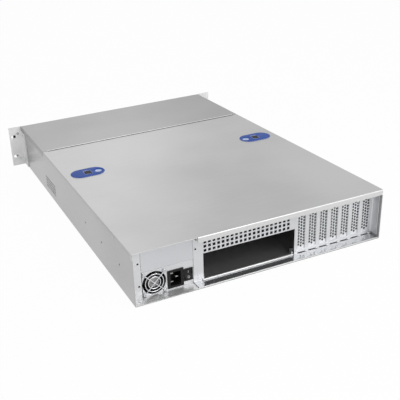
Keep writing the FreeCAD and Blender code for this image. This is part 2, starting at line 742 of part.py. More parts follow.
def fan_frame():
    """The power supply fan's ring, with a motor seat on three struts."""
    depth = S.fan_depth
    floor = REAR_Y - depth
    seat = S.seat_depth
    ring = cut(rod(S.fan_bore - S.fit_gap, depth - S.guard_wire, (FAN_X, floor, FAN_Z), TO_REAR),
               [rod(S.fan_bore - S.sheet, depth * 2, (FAN_X, floor - S.sheet, FAN_Z), TO_REAR)])
    struts = []
    for turn in (0, 120, 240):
        strut = block((S.fan_bore / 2 - S.sheet / 4, seat, S.sheet * 2), (FAN_X, floor, FAN_Z - S.sheet))
        strut.Placement.Rotation = FreeCAD.Rotation(FreeCAD.Vector(0, 1, 0), turn)
        slant = math.radians(turn)
        bind(strut, "Placement.Base.x", FAN_X - S.sheet * math.sin(slant))
        bind(strut, "Placement.Base.z", FAN_Z - S.sheet * math.cos(slant))
        struts.append(strut)
    motor = rod(S.hub_size, seat, (FAN_X, floor, FAN_Z), TO_REAR)
    bore = rod(S.shaft_size + S.shaft_play * 2, seat * 3, (FAN_X, floor - seat, FAN_Z), TO_REAR)
    return keep(cut(fuse([ring, motor] + struts), [bore]), "supply_fan_frame")


def blades(centre_x, base_y, centre_z, hub, tip, depth):
    """Flat pitched blades round a hub."""
    made = []
    for number in counted(S.blade_count):
        turn = 360.0 * number / S.blade_count.value
        blade = block((tip - hub / 3, S.sheet, depth), (centre_x, base_y, centre_z))
        pitch = FreeCAD.Rotation(FreeCAD.Vector(1, 0, 0), S.blade_slant.value)
        blade.Placement.Rotation = FreeCAD.Rotation(FreeCAD.Vector(0, 1, 0), turn).multiply(pitch)
        corner = blade.Placement.Rotation.multVec(FreeCAD.Vector(1, 0, 0))
        lift = blade.Placement.Rotation.multVec(FreeCAD.Vector(0, 0, 1))
        bind(blade, "Placement.Base.x", centre_x + hub * (corner.x / 3) - depth * (lift.x / 2))
        bind(blade, "Placement.Base.y", base_y + hub * (corner.y / 3) - depth * (lift.y / 2))
        bind(blade, "Placement.Base.z", centre_z + hub * (corner.z / 3) - depth * (lift.z / 2))
        made.append(blade)
    return made


def fan_rotor():
    """The power supply fan's hub, blades and shaft."""
    base = REAR_Y - S.fan_depth + S.seat_depth + S.fit_gap
    hub = rod(S.hub_size, S.hub_depth, (FAN_X, base, FAN_Z), TO_REAR)
    shaft = rod(S.shaft_size, S.hub_depth, (FAN_X, REAR_Y - S.fan_depth, FAN_Z), TO_REAR)
    tip = S.fan_bore / 2 - S.sheet / 2 - S.blade_gap
    vanes = blades(FAN_X, base + S.hub_depth / 2, FAN_Z, S.hub_size, tip, S.hub_depth)
    return keep(fuse([hub, shaft] + vanes), "supply_fan_rotor")


def fan_guard():
    """Concentric rings welded on four arms that run to the fan's corner screws."""
    face = REAR_Y + S.guard_wire
    wire = S.guard_wire
    rings = []
    for number in counted(S.guard_rings):
        diameter = S.guard_ring - S.guard_step * number
        rings.append(cut(rod(diameter, wire, (FAN_X, face, FAN_Z), TO_REAR),
                         [rod(diameter - wire * 2, wire * 3, (FAN_X, face - wire, FAN_Z), TO_REAR)]))
    reach = S.guard_screws * math.sqrt(2)
    arms = []
    for turn in (45, 135):
        arm = block((reach, wire, wire), (FAN_X, REAR_Y, FAN_Z))
        arm.Placement.Rotation = FreeCAD.Rotation(FreeCAD.Vector(0, 1, 0), turn)
        slant = math.radians(turn)
        bind(arm, "Placement.Base.x", FAN_X - reach * (math.cos(slant) / 2) - wire * (math.sin(slant) / 2))
        bind(arm, "Placement.Base.z", FAN_Z + reach * (math.sin(slant) / 2) - wire * (math.cos(slant) / 2))
        arms.append(arm)
    return keep(fuse(rings + arms), "supply_fan_guard")


def guard_screws():
    """Four screw heads that clamp the guard's arms."""
    heads = []
    for side in (-1, 1):
        for rise in (-1, 1):
            across, up = side * S.guard_screws / 2, rise * S.guard_screws / 2
            spot = (FAN_X + across, REAR_Y + S.guard_wire, FAN_Z + up)
            heads.append(bar(S.guard_head, S.sheet, spot, TO_REAR))
    return keep(group(heads), "supply_fan_screws")


def power_inlet():
    """The inlet: a flange on the face and a socket with three pins inside."""
    low = S.inlet_base
    right = INLET_FAR - S.inlet_width
    wall = S.fit_gap * 6
    flange = block((S.inlet_width, S.flange_proud, S.inlet_height), (right, REAR_Y, low))
    depth = S.socket_depth + S.sheet
    shell = block((S.inlet_width - wall, depth, S.inlet_height - wall),
                  (right + wall / 2, REAR_Y - depth, low + wall / 2))
    body = fuse([flange, shell])
    middle = INLET_FAR - S.inlet_width / 2
    centre = low + S.inlet_height / 2
    hollow = block((S.socket_width, S.socket_depth + S.sheet * 2, S.socket_height),
                   (middle - S.socket_width / 2, REAR_Y - S.socket_depth, centre - S.socket_height / 2))
    return keep(cut(body, [hollow]), "power_inlet")


def inlet_pins():
    """Three flat blades standing in the socket."""
    middle = INLET_FAR - S.inlet_width / 2
    centre = S.inlet_base + S.inlet_height / 2
    foot = REAR_Y - S.socket_depth
    across, thick = S.pin_width, S.pin_sheet
    spots = [(middle + across, centre + rise) for rise in (S.pin_rise, -S.pin_rise)]
    spots.append((middle - across, centre))
    size = (across, S.socket_depth - across, thick)
    pins = [block(size, (x - across / 2, foot, z - thick / 2)) for x, z in spots]
    return keep(group(pins), "inlet_pins")


def switch_frame():
    """The frame that the mains switch snaps in with, open in the middle."""
    right = SWITCH_FAR - S.switch_width
    wall = S.fit_gap * 6
    depth = S.socket_depth - S.sheet
    flange = block((S.switch_width, S.flange_proud, S.switch_height), (right, REAR_Y, S.switch_base))
    shell = block((S.switch_width - wall, depth, S.switch_height - wall),
                  (right + wall / 2, REAR_Y - depth, S.switch_base + wall / 2))
    rim = S.switch_rim
    hollow = block((S.switch_width - rim * 2, depth, S.switch_height - rim * 2),
                   (right + rim, REAR_Y - depth + S.sheet * 2, S.switch_base + rim))
    return keep(cut(fuse([flange, shell]), [hollow]), "switch_frame")


def switch_rocker():
    """The rocker, drawn about its pivot: two faces that meet at a shallow angle, resting on one side."""
    body = new_body("switch_rocker")
    half = S.switch_height / 2 - S.switch_rim - S.fit_gap * 3
    width = S.switch_width - S.switch_rim * 2 - S.fit_gap * 2
    crown = S.sheet
    slope = S.rocker_slope
    outline = new_sketch(body, "YZ_Plane")
    polygon(outline, [
        (-S.sheet * 3, -half / 2), (dim(0), -half), (crown + slope, -half), (crown, dim(0)),
        (crown + slope, half), (dim(0), half), (-S.sheet * 3, half / 2)])
    pad(body, outline, width, both=True)
    body.Placement.Rotation = FreeCAD.Rotation(FreeCAD.Vector(1, 0, 0), S.switch_tilt.value)
    bind(body, "Placement.Rotation.Angle", S.switch_tilt)
    locate(body, (SWITCH_FAR - S.switch_width / 2, REAR_Y - S.sheet, S.switch_base + S.switch_height / 2))
    return keep(body, "switch_rocker")


# ---- the cover latches


def latch_housing(label, side):
    """A stadium-shaped plate let into the cover, with a button window and a thumb dish."""
    body = new_body(label)
    x = side * LATCH_X
    top = S.case_height + S.latch_proud
    rim = new_sketch(body, "XY_Plane", S.case_height)
    stadium(rim, x, S.latch_y, S.latch_length, S.latch_width)
    pad(body, rim, S.latch_proud)
    plug = new_sketch(body, "XY_Plane", S.case_height)
    inset = (S.latch_rim + S.fit_gap) * 2
    stadium(plug, x, S.latch_y, S.latch_length - inset, S.latch_width - inset)
    pad(body, plug, S.latch_depth, reverse=True)
    window = new_sketch(body, "XY_Plane")
    slack = S.fit_gap
    rectangle(window, x - S.button_width / 2 - slack, S.latch_y - S.button_length / 2 - slack,
              x + S.button_width / 2 + slack, S.latch_y + S.button_length / 2 + slack)
    pierce(body, window)
    dish = doc.addObject("Part::Cone", "Dish")
    bind(dish, "Radius1", S.dish_floor / 2)
    bind(dish, "Radius2", S.dish_size / 2)
    bind(dish, "Height", S.dish_depth)
    locate(dish, (x - side * S.dish_offset, S.latch_y, top - S.dish_depth))
    return keep(cut(body, [dish]), label)


def latch_button(label, side):
    """The push button, with a stem that reaches down through the cross brace."""
    x = side * LATCH_X
    top = S.case_height + S.latch_proud - S.button_sink
    foot = S.case_height - S.latch_depth + S.fit_gap
    head = block((S.button_width, S.button_length, top - foot),
                 (x - S.button_width / 2, S.latch_y - S.button_length / 2, foot))
    low = BRACE_Z - S.sheet * 2
    corner = (x - S.stem_size / 2, S.latch_y - S.stem_size / 2, low)
    stem = block((S.stem_size, S.stem_size, foot - low), corner)
    return keep(fuse([head, stem]), label)


# ---- the front


def ear(label, side):
    """A rack ear: a slotted face and a leg on the side wall, folded from one sheet."""
    body = new_body(label)
    outline = new_sketch(body, "XY_Plane")
    near, far = WALL_X, EAR_X
    leg = near + S.ear_sheet
    corners = [(near, S.ear_leg), (near, -S.ear_sheet), (far, -S.ear_sheet), (far, dim(0)), (leg, dim(0)),
               (leg, S.ear_leg)]
    polygon(outline, [(side * x, y) for x, y in corners])
    plate = pad(body, outline, S.case_height)
    plate = soften(body, plate, 2, [(side * near, -S.ear_sheet)], S.bend + S.ear_sheet)
    soften(body, plate, 2, [(side * leg, 0)], S.bend)
    trims = new_sketch(body, "YZ_Plane")
    rear = S.ear_leg + S.sheet
    rectangle(trims, dim(0), FLANGE_Z - S.fit_gap, rear, S.case_height + S.sheet)
    rectangle(trims, dim(0), -S.sheet, rear, S.ear_sheet)
    pierce(body, trims)
    slots = new_sketch(body, "XZ_Plane")
    for rise in (-1, 1):
        height = MID_Z + rise * S.rack_rise / 2
        stadium(slots, side * (EAR_X - S.rack_inset), height, S.rack_slot, S.rack_hole)
    pierce(body, slots)
    return keep(body, label)


def handle(label, side):
    """A bow handle on the front of an ear."""
    body = new_body(label)
    face = -S.ear_sheet
    out = face - S.handle_reach
    low = MID_Z - S.handle_span / 2 - S.handle_bar / 2
    high = MID_Z + S.handle_span / 2 + S.handle_bar / 2
    outline = new_sketch(body, "YZ_Plane", side * HANDLE_X)
    polygon(outline, [
        (face, low), (face, low + S.handle_bar), (out + S.handle_bar, low + S.handle_bar),
        (out + S.handle_bar, high - S.handle_bar), (face, high - S.handle_bar),
        (face, high), (out, high), (out, low)])
    bow = pad(body, outline, S.handle_bar, both=True)
    bow = soften(body, bow, 0, [(out, low), (out, high)], S.handle_round)
    inner = out + S.handle_bar
    soften(body, bow, 0, [(inner, low + S.handle_bar), (inner, high - S.handle_bar)],
           S.handle_round - S.handle_bar)
    return keep(body, label)


def handle_screws():
    """The screw heads behind the ears that hold the handles."""
    heads = []
    for side in (-1, 1):
        for rise in (-1, 1):
            spot = (side * HANDLE_X, dim(0), MID_Z + rise * S.handle_span / 2)
            heads.append(bar(S.screw_head, S.sheet, spot, TO_REAR))
    return keep(group(heads), "handle_screws")


def front_panel():
    """The front sheet, with two rows of vents and the holes for the controls."""
    body = new_body("front_panel")
    outline = new_sketch(body, "XZ_Plane")
    edge = INNER_X - S.fit_gap
    rectangle(outline, -edge, S.sheet, edge, TRAY_TOP - S.sheet - S.fit_gap)
    pad(body, outline, S.sheet)
    vents = new_sketch(body, "XZ_Plane")
    first = -S.front_pitch * (S.front_count - 1) / 2
    gap = S.front_vent
    for low in (MID_Z + gap / 2, MID_Z - gap / 2 - S.front_rise):
        rectangle(vents, first - S.front_vent / 2, low, first + S.front_vent / 2, low + S.front_rise)
    repeat(body, pierce(body, vents), "X_Axis", S.front_pitch, S.front_count)
    holes = new_sketch(body, "XZ_Plane")
    slack = S.fit_gap * 2
    circle(holes, CONTROL_X, S.power_height, S.power_size + slack)
    circle(holes, CONTROL_X, S.reset_height, S.reset_size + slack)
    for row in range(2):
        square(holes, CONTROL_X, S.light_height - S.light_pitch * row, S.light_size)
    pierce(body, holes)
    return keep(body, "front_panel")


def push_button(label, diameter, height):
    """A round button with a wider seat behind the panel."""
    back = S.sheet + S.fit_gap
    cap = rod(diameter, S.sheet * 4, (CONTROL_X, back, height), TO_FRONT)
    seat = rod(diameter + S.sheet * 2, S.sheet, (CONTROL_X, back, height), TO_FRONT)
    return keep(fuse([cap, seat]), label)


def indicator_lights():
    """Two light pipes set in the front panel."""
    lenses = []
    side = S.light_size
    for row in range(2):
        low = S.light_height - S.light_pitch * row - side / 2
        lenses.append(block((side, S.sheet * 2.5, side), (CONTROL_X - side / 2, -S.sheet * 1.5, low)))
    return keep(group(lenses), "indicator_lights")


# ---- inside


def cross_brace():
    """The channel that ties the side walls together under the latches."""
    body = new_body("cross_brace")
    left = INNER_X
    front, rear = S.brace_y, S.brace_y + S.brace_depth
    top, under = BRACE_Z, BRACE_Z - S.sheet
    low = BRACE_Z - S.brace_flange
    outline = new_sketch(body, "YZ_Plane", -left)
    polygon(outline, [(front, low), (front + S.sheet, low), (front + S.sheet, under), (rear - S.sheet, under),
                      (rear - S.sheet, low), (rear, low), (rear, top), (front, top)])
    bridge = pad(body, outline, left * 2)
    bridge = soften(body, bridge, 0, [(front, top), (rear, top)], FOLD)
    soften(body, bridge, 0, [(front + S.sheet, under), (rear - S.sheet, under)], S.bend)
    keepers = new_sketch(body, "XY_Plane")
    play = S.stem_size / 2 + S.fit_gap * 2
    for side in (-1, 1):
        x = side * LATCH_X
        rectangle(keepers, x - play, S.latch_y - play, x + play, S.latch_y + play + S.cover_travel)
    pierce(body, keepers)
    return keep(body, "cross_brace")


def fan_wall():
    """The folded wall across the case that carries the three case fans."""
    body = new_body("fan_wall")
    left = INNER_X
    face, back = S.wall_y, S.wall_y - S.sheet
    front = S.wall_y - S.wall_flange
    high = S.case_height - S.wall_drop
    outline = new_sketch(body, "YZ_Plane", -left)
    polygon(outline, [(face, S.sheet), (face, high), (front, high), (front, high - S.sheet),
                      (back, high - S.sheet), (back, S.sheet * 2), (front, S.sheet * 2), (front, S.sheet)])
    wall = pad(body, outline, left * 2)
    wall = soften(body, wall, 0, [(face, S.sheet), (face, high)], FOLD)
    soften(body, wall, 0, [(back, S.sheet * 2), (back, high - S.sheet)], S.bend)
    openings = new_sketch(body, "XZ_Plane")
    for column in (-1, 0, 1):
        circle(openings, S.blower_pitch * column, BLOWER_Z, BLOWER_BORE)
    for side in (-1, 1):
        middle = side * S.blower_pitch / 2
        rectangle(openings, middle - S.cable_width / 2, BLOWER_Z - S.cable_height / 2,
                  middle + S.cable_width / 2, BLOWER_Z + S.cable_height / 2)
    pierce(body, openings)
    return keep(body, "fan_wall")


def case_fan_frame(label, column):
    """A square fan frame with its motor seat on three struts."""
    x = S.blower_pitch * column
    z = BLOWER_Z
    face = S.wall_y
    seat = S.blower_seat
    rear = face + S.blower_depth
    shell = cut(block((BLOWER, S.blower_depth, BLOWER), (x - BLOWER / 2, face, FOLD)),
                [rod(BLOWER_BORE, S.blower_depth * 2, (x, face - seat, z), TO_REAR)])
    struts = []
    for turn in (90, 210, 330):
        slant = math.radians(turn)
        strut = block((BLOWER_BORE / 2 + S.blower_rim / 2, seat, seat), (x, rear - seat, z))
        strut.Placement.Rotation = FreeCAD.Rotation(FreeCAD.Vector(0, 1, 0), turn)
        bind(strut, "Placement.Base.x", x - seat * (math.sin(slant) / 2))
        bind(strut, "Placement.Base.z", z - seat * (math.cos(slant) / 2))
        struts.append(strut)
    motor = rod(S.blower_hub, seat, (x, rear - seat, z), TO_REAR)
    bore = rod(S.shaft_size + S.shaft_play * 2, seat * 3, (x, rear - seat * 2, z), TO_REAR)
    return keep(cut(fuse([shell, motor] + struts), [bore]), label)


def case_fan_rotor(label, column):
    """A case fan's hub, blades and shaft."""
    x = S.blower_pitch * column
    z = BLOWER_Z
    rear = S.wall_y + S.blower_depth
    seat = S.blower_seat
    depth = S.blower_depth - seat - S.fit_gap * 6
    base = rear - seat - S.fit_gap - depth
    hub = rod(S.blower_hub, depth, (x, base, z), TO_REAR)
    shaft = rod(S.shaft_size, depth + seat, (x, base, z), TO_REAR)
    tip = BLOWER_BORE / 2 - S.blade_gap * 1.5
    vanes = blades(x, base + depth / 2, z, S.blower_hub, tip, depth - S.blower_seat)
    return keep(fuse([hub, shaft] + vanes), label)


def board_standoffs():
    """Nine hexagonal standoffs on the floor, in the usual board pattern."""
    posts = []
    outer = S.board_inset - INNER_X
    for across in (outer, outer + S.board_middle, BAY_EDGE - S.board_edge):
        for deep in (S.board_rear, S.board_second, S.board_third):
            spot = (across, REAR_Y - S.sheet - deep, S.sheet)
            posts.append(bar(S.standoff_size, S.standoff_height, spot))
    return keep(group(posts), "board_standoffs")


def build():
    """Make every sub-part."""
    base_tray()
    front_cover()
    top_cover()
    rear_panel()
    for number in counted(S.slot_count):
        slot_cover(number)
    slot_cover_screws()
    rear_left_angle()
    supply_blank()
    supply_housing()
    fan_frame()
    fan_rotor()
    fan_guard()
    guard_screws()
    power_inlet()
    inlet_pins()
    switch_frame()
    switch_rocker()
    for name, side in (("left", 1), ("right", -1)):
        latch_housing(f"latch_housing_{name}", side)
        latch_button(f"latch_button_{name}", side)
        ear(f"ear_{name}", side)
        handle(f"handle_{name}", side)
    handle_screws()
    front_panel()
    push_button("power_button", S.power_size, S.power_height)
    push_button("reset_button", S.reset_size, S.reset_height)
    indicator_lights()
    cross_brace()
    fan_wall()
    for number, column in enumerate((-1, 0, 1), start=1):
        case_fan_frame(f"case_fan_frame_{number}", column)
        case_fan_rotor(f"case_fan_rotor_{number}", column)
    board_standoffs()
    doc.recompute()


def check():
    """Stop if any object failed or any sub-part's shape is unsound."""
    for item in doc.Objects:
        if "Invalid" in item.State or "Error" in item.State:
            raise RuntimeError(f"{item.Name} ({item.Label}) failed")
    for item in parts:
        if item.Shape.isNull() or not item.Shape.isValid() or not item.Shape.Solids:
            raise RuntimeError(f"{item.Label} has an unsound shape")


def write():
    """Write each sub-part to its own file."""
    os.makedirs("parts", exist_ok=True)
    for item in parts:
        item.Shape.exportStep(f"parts/{item.Label}.step")
        print(f"{item.Label}: {len(item.Shape.Solids)} solid, {item.Shape.Volume:.0f} mm3")


build()
check()
write()
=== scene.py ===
# %% [markdown]
# # An empty rackmount server case
#
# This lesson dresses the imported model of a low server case: bare zinc-coated steel, two blue cover latches, a small
# power supply and seven perforated slot covers. The construction is fixed. Blender adds the finishes, the small
# turned and moulded pieces, a studio and a camera.

# %% Load the frame
import math

import bpy
from mathutils import Matrix, Vector


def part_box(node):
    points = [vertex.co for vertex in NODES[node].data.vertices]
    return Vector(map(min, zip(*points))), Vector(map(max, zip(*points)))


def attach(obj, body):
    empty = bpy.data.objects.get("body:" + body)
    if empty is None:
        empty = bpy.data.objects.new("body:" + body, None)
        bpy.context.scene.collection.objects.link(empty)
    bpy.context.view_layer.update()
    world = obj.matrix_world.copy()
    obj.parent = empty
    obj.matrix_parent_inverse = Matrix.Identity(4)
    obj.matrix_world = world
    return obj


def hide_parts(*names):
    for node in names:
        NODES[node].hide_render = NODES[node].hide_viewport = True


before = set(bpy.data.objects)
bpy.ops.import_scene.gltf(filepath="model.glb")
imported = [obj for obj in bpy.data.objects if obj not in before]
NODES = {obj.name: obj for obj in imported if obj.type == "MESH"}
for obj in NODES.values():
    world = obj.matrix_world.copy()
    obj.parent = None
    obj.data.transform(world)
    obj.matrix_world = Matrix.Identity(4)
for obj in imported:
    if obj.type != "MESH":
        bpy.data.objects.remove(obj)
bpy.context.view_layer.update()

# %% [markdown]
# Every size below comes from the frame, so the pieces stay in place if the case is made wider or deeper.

MM = 0.001
DOWN, TO_RIGHT, FORWARD = (0.0, 0.0, -1.0), (-1.0, 0.0, 0.0), (0.0, -1.0, 0.0)  # as seen from behind

CASE_LOW, CASE_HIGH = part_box("base_tray")
COVER_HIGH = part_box("top_cover")[1]
WALL_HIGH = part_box("rear_panel")[1]
WALL_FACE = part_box("supply_housing")[1].y  # the recessed rear wall's outer face
print("case", [round(value / MM, 1) for value in CASE_HIGH - CASE_LOW], "mm; rear wall at", round(WALL_FACE / MM, 1))

# %% [markdown]
# ## The camera and the studio
#
# The camera looks down on the rear left corner from about a metre and a third away. It is turned a little about its
# own axis, so the case seems to stand on a slope. A long lens keeps the far end from shrinking much, and a small
# sideways shift frames the case.

# %% Camera
AZIMUTH, ELEVATION, TURN = math.radians(159.05), math.radians(24.77), math.radians(-3.93)
DISTANCE = 1.30335
TARGET = Vector((0.06516, 0.300, -0.00357))
FOCAL_LENGTH = 61.30  # millimetres, on a sensor 36 mm wide
SIDE_SHIFT = 0.15


def aim_camera():
    """Put the camera on its sphere round the target and turn it about its own axis."""
    back = Vector((math.sin(AZIMUTH) * math.cos(ELEVATION), -math.cos(AZIMUTH) * math.cos(ELEVATION),
                   math.sin(ELEVATION)))
    right = Vector((0, 0, 1)).cross(back).normalized()
    up = back.cross(right)
    side = right * math.cos(TURN) + up * math.sin(TURN)
    top = up * math.cos(TURN) - right * math.sin(TURN)
    bpy.ops.object.camera_add(location=TARGET + back * DISTANCE)
    camera = bpy.context.object
    camera.rotation_euler = Matrix((side, top, back)).transposed().to_euler()
    camera.data.lens = FOCAL_LENGTH
    camera.data.sensor_width = 36.0
    camera.data.shift_x = SIDE_SHIFT
    camera.data.clip_end = 30.0
    bpy.context.scene.camera = camera
    return camera


camera = aim_camera()
bpy.context.scene.view_settings.view_transform = "Standard"
print("camera at", [round(value, 3) for value in camera.location])

# %% [markdown]
# ## Shader maths
#
# A material is a small circuit of nodes. Written one node at a time it is hard to read, so one class wraps a node's
# output and lets plain arithmetic add the Math nodes. Anything else comes from its `node` method.


# %% The class for shader maths
class Signal:
    """An output in a material's nodes. Arithmetic on it adds Math nodes to the same material."""

    def __init__(self, tree, socket=None):
        self.tree = tree
        self.socket = socket

    def node(self, kind, values=None, output=0, stops=None, **settings):
        """Add a node with its settings, then the values or links of its sockets, and return one output."""
        made = self.tree.nodes.new("ShaderNode" + kind)
        for name, setting in settings.items():
            setattr(made, name, setting)
        for index, (place, colour) in enumerate(stops or ()):
            elements = made.color_ramp.elements
            element = elements[index] if index < 2 else elements.new(place)
            element.position = place
            element.color = (*colour, 1.0)
        for key, value in (values or {}).items():
            if isinstance(value, Signal):
                self.tree.links.new(value.socket, made.inputs[key])
            else:
                made.inputs[key].default_value = value
        return Signal(self.tree, made.outputs[output])

    def math(self, operation, first, second):
        return self.node("Math", {0: first, 1: second}, operation=operation)

    def __add__(self, other):
        return self.math("ADD", self, other)

    def __rsub__(self, other):
        return self.math("SUBTRACT", other, self)

    def __mul__(self, other):
        return self.math("MULTIPLY", self, other)

    def most(self, other):
        """The greater of two."""
        return self.math("MAXIMUM", self, other)

    def between(self, low, high):
        """Nought below low, one above high, smooth in between."""
        values = {"Value": self, "From Min": low, "From Max": high}
        return self.node("MapRange", values, interpolation_type="SMOOTHSTEP")

    def blend(self, first, second):
        """The first colour where this is nought, the second where it is one."""
        return self.node("Mix", {0: self, 6: first, 7: second}, output=2, data_type="RGBA")


def linear(red, green, blue):
    """A display colour of 0 to 255 as the linear colour that a shader takes."""
    def decode(value):
        share = value / 255.0
        return share / 12.92 if share <= 0.04045 else ((share + 0.055) / 1.055) ** 2.4
    return (decode(red), decode(green), decode(blue), 1.0)


def grey(level, cool=0):
    """A grey, with a trace of blue where it is cool."""
    return linear(level - cool / 2, level, level + cool)


def start_material(name):
    """An empty material, as the Signal that its nodes are added through."""
    material = bpy.data.materials.new(name)
    material.use_nodes = True
    material.node_tree.nodes.clear()
    return material, Signal(material.node_tree)


def surface(begin, values):
    """A Principled shader with these values, joined to the material's output."""
    shader = begin.node("BsdfPrincipled", values)
    output = begin.tree.nodes.new("ShaderNodeOutputMaterial")
    begin.tree.links.new(shader.socket, output.inputs["Surface"])


# %% [markdown]
# ## Zinc-coated steel
#
# Almost the whole case is one material: thin steel with a satin zinc coat. It isn't a mirror and it isn't paint. A
# broad, soft reflection lies over a pale grey that is never quite even: faint clouds where the coat is thicker, and
# fine streaks along the way the sheet was rolled. Cut edges and folds catch the light: a Bevel node rounds them in
# the shading, without touching the model's own mesh, and their colour is painted paler, partly the bare cut edge and
# partly a painted highlight. Some copies of the steel are painted lighter or darker as painted light and shade, and a
# mask can paint light or shade on one part of a piece.


# %% Steel
CLOUDS, SPECKLE = 5.0, 1500.0  # how many to a metre
STREAK_LENGTH, STREAK_WIDTH = 40.0, 900.0  # likewise, along and across the rolling direction
BEVEL_RAYS = 4


def rolled_place(begin, along):
    """Object coordinates squeezed along the rolling direction, for streaks."""
    squeeze = [STREAK_LENGTH if axis == along else STREAK_WIDTH for axis in "XYZ"]
    place = begin.node("TexCoord", output="Object")
    return begin.node("Mapping", {"Vector": place, "Scale": squeeze})


def rounded_normal(begin, width):
    """The surface's direction, softened within this distance of an edge."""
    return begin.node("Bevel", {"Radius": width}, samples=BEVEL_RAYS)


def edge_mask(begin, width):
    """One along an edge and nought away from it: where a rounded normal leaves the true one."""
    facing = begin.node("NewGeometry", output="True Normal")
    agreement = begin.node("VectorMath", {0: rounded_normal(begin, width), 1: facing}, output="Value",
                           operation="DOT_PRODUCT")
    return (1.0 - agreement).between(0.02, 0.2)


def faces_along(begin, axis):
    """How squarely the true surface faces along an axis, from nought to one."""
    facing = begin.node("NewGeometry", output="True Normal")
    part = begin.node("SeparateXYZ", {"Vector": facing}, output=axis)
    return part.math("ABSOLUTE", part, 0.0)


def place_on_case(begin, axis):
    return begin.node("SeparateXYZ", {"Vector": begin.node("TexCoord", output="Object")}, output=axis)


def sheet_steel(name, level, shine=0.36, metal=0.6, along="Y", spread=7, soft=0.45 * MM, cool=0,
                where=None, painted_level=0, other_metal=0.6, other_shine=0.36):
    """Satin zinc-coated steel of a display grey level. The mask `where` gives a part of it another finish, with a
    grey that is painted there to stand in for light or shade.
    """
    material, begin = start_material(name)
    place = begin.node("TexCoord", output="Object")
    clouds = begin.node("TexNoise", {"Vector": place, "Scale": CLOUDS, "Detail": 2.5, "Roughness": 0.5})
    streaks = begin.node("TexNoise", {"Vector": rolled_place(begin, along), "Scale": 1.0, "Detail": 2.0})
    speckle = begin.node("TexNoise", {"Vector": place, "Scale": SPECKLE, "Detail": 2.0})
    tint = (clouds * 0.6 + streaks * 0.2 + speckle * 0.2).between(0.35, 0.65)
    colour = tint.blend(grey(level - spread, cool), grey(level + spread, cool))
    height = streaks * 0.6 + speckle * 0.4
    bump = begin.node("Bump", {"Strength": 0.05, "Distance": 0.2 * MM, "Height": height,
                               "Normal": rounded_normal(begin, soft)})
    # Edges painted paler: partly the bare cut edge, partly a painted highlight.
    coated = (edge_mask(begin, soft) * 0.5).blend(colour, grey(min(level + 30, 250), cool))
    roughness = clouds * 0.1 + streaks * 0.06 + (shine - 0.08)
    values = {"Base Color": coated, "Metallic": metal, "Roughness": roughness, "Normal": bump}
    if where:
        mask = where(begin)
        # The grey under the mask is painted light or painted shade.
        values["Base Color"] = mask.blend(coated, grey(painted_level, cool))
        values["Metallic"] = mask * (other_metal - metal) + metal
        values["Roughness"] = roughness + mask * (other_shine - shine)
    surface(begin, values)
    return material


def shaded_hole_walls(begin):
    """The walls of a punched hole in an upright sheet, below its turned-over tab, painted nearly black: painted shade
    inside the holes.
    """
    upright = 1.0 - faces_along(begin, "Y").between(0.3, 0.7)
    tab = place_on_case(begin, "Z").between(WALL_HIGH.z - 6 * MM, WALL_HIGH.z - 5 * MM)
    return upright * (1.0 - tab)


def flat_foot(begin):
    """The level foot of the rear wall where it stands on the tray. The wall's steel is painted darker and glossier
    there, a painted reflection of the dark bay.
    """
    above = place_on_case(begin, "Z").between(3.0 * MM, 4.0 * MM)
    return faces_along(begin, "Z").between(0.5, 0.9) * (1.0 - above)


def lit_tray_lip(begin):
    """The strip of the tray that reaches out behind the rear wall, where the tray's steel is painted paler: painted
    light on the up-facing strip.
    """
    return flat_foot(begin) * place_on_case(begin, "Y").between(WALL_FACE, WALL_FACE + 1 * MM)


def lit_rear_fold(begin):
    """The edge that is folded down at the cover's rear end, where the cover's steel is painted paler: painted light
    on the faces turned to the lamp.
    """
    return faces_along(begin, "Y").between(0.3, 0.8)


# %% [markdown]
# ## Plastics, plated wire and the rest
#
# Moulded plastic is judged by its gloss and its fine spark-eroded texture, so each gets a small bump. Screws and the
# fan guard are plated: bright metal with a little scatter. The front buttons differ from them only in colour and
# roughness, and the black handles are made like the plastics, with a little gloss.


# %% Plastics and metals
def moulded(name, colour, roughness, texture=0.08, gloss=0.0, edge_highlight=None):
    """Plastic with a fine moulded texture, and a paler edge if a colour is given for it: a painted highlight on its
    rounded rim.
    """
    material, begin = start_material(name)
    place = begin.node("TexCoord", output="Object")
    fine = begin.node("TexNoise", {"Vector": place, "Scale": 2200.0, "Detail": 1.0})
    broad = begin.node("TexNoise", {"Vector": place, "Scale": 120.0, "Detail": 3.0})
    darker = tuple(channel * 0.86 for channel in colour[:3]) + (1.0,)
    shade = broad.between(0.35, 0.65).blend(darker, colour)
    if edge_highlight:
        shade = edge_mask(begin, 0.9 * MM).blend(shade, edge_highlight)
    bump = begin.node("Bump", {"Strength": texture, "Distance": 0.2 * MM, "Height": fine,
                               "Normal": rounded_normal(begin, 0.3 * MM)})
    surface(begin, {
        "Base Color": shade,
        "Roughness": broad * 0.12 + (roughness - 0.06),
        "Specular IOR Level": 0.3,
        "Coat Weight": gloss,
        "Coat Roughness": 0.08,
        "Normal": bump,
    })
    return material


def plated(name, colour, roughness, streak=0.1):
    """Bright metal with faint turning marks."""
    material, begin = start_material(name)
    place = begin.node("TexCoord", output="Object")
    marks = begin.node("TexNoise", {"Vector": place, "Scale": 1400.0, "Detail": 2.0})
    broad = begin.node("TexNoise", {"Vector": place, "Scale": 200.0, "Detail": 2.0})
    darker = tuple(channel * 0.8 for channel in colour[:3]) + (1.0,)
    bump = begin.node("Bump", {"Strength": streak, "Distance": 0.1 * MM, "Height": marks,
                               "Normal": rounded_normal(begin, 0.25 * MM)})
    surface(begin, {
        "Base Color": broad.between(0.3, 0.7).blend(darker, colour),
        "Metallic": 1.0,
        "Roughness": broad * 0.15 + (roughness - 0.07),
        "Normal": bump,
    })
    return material
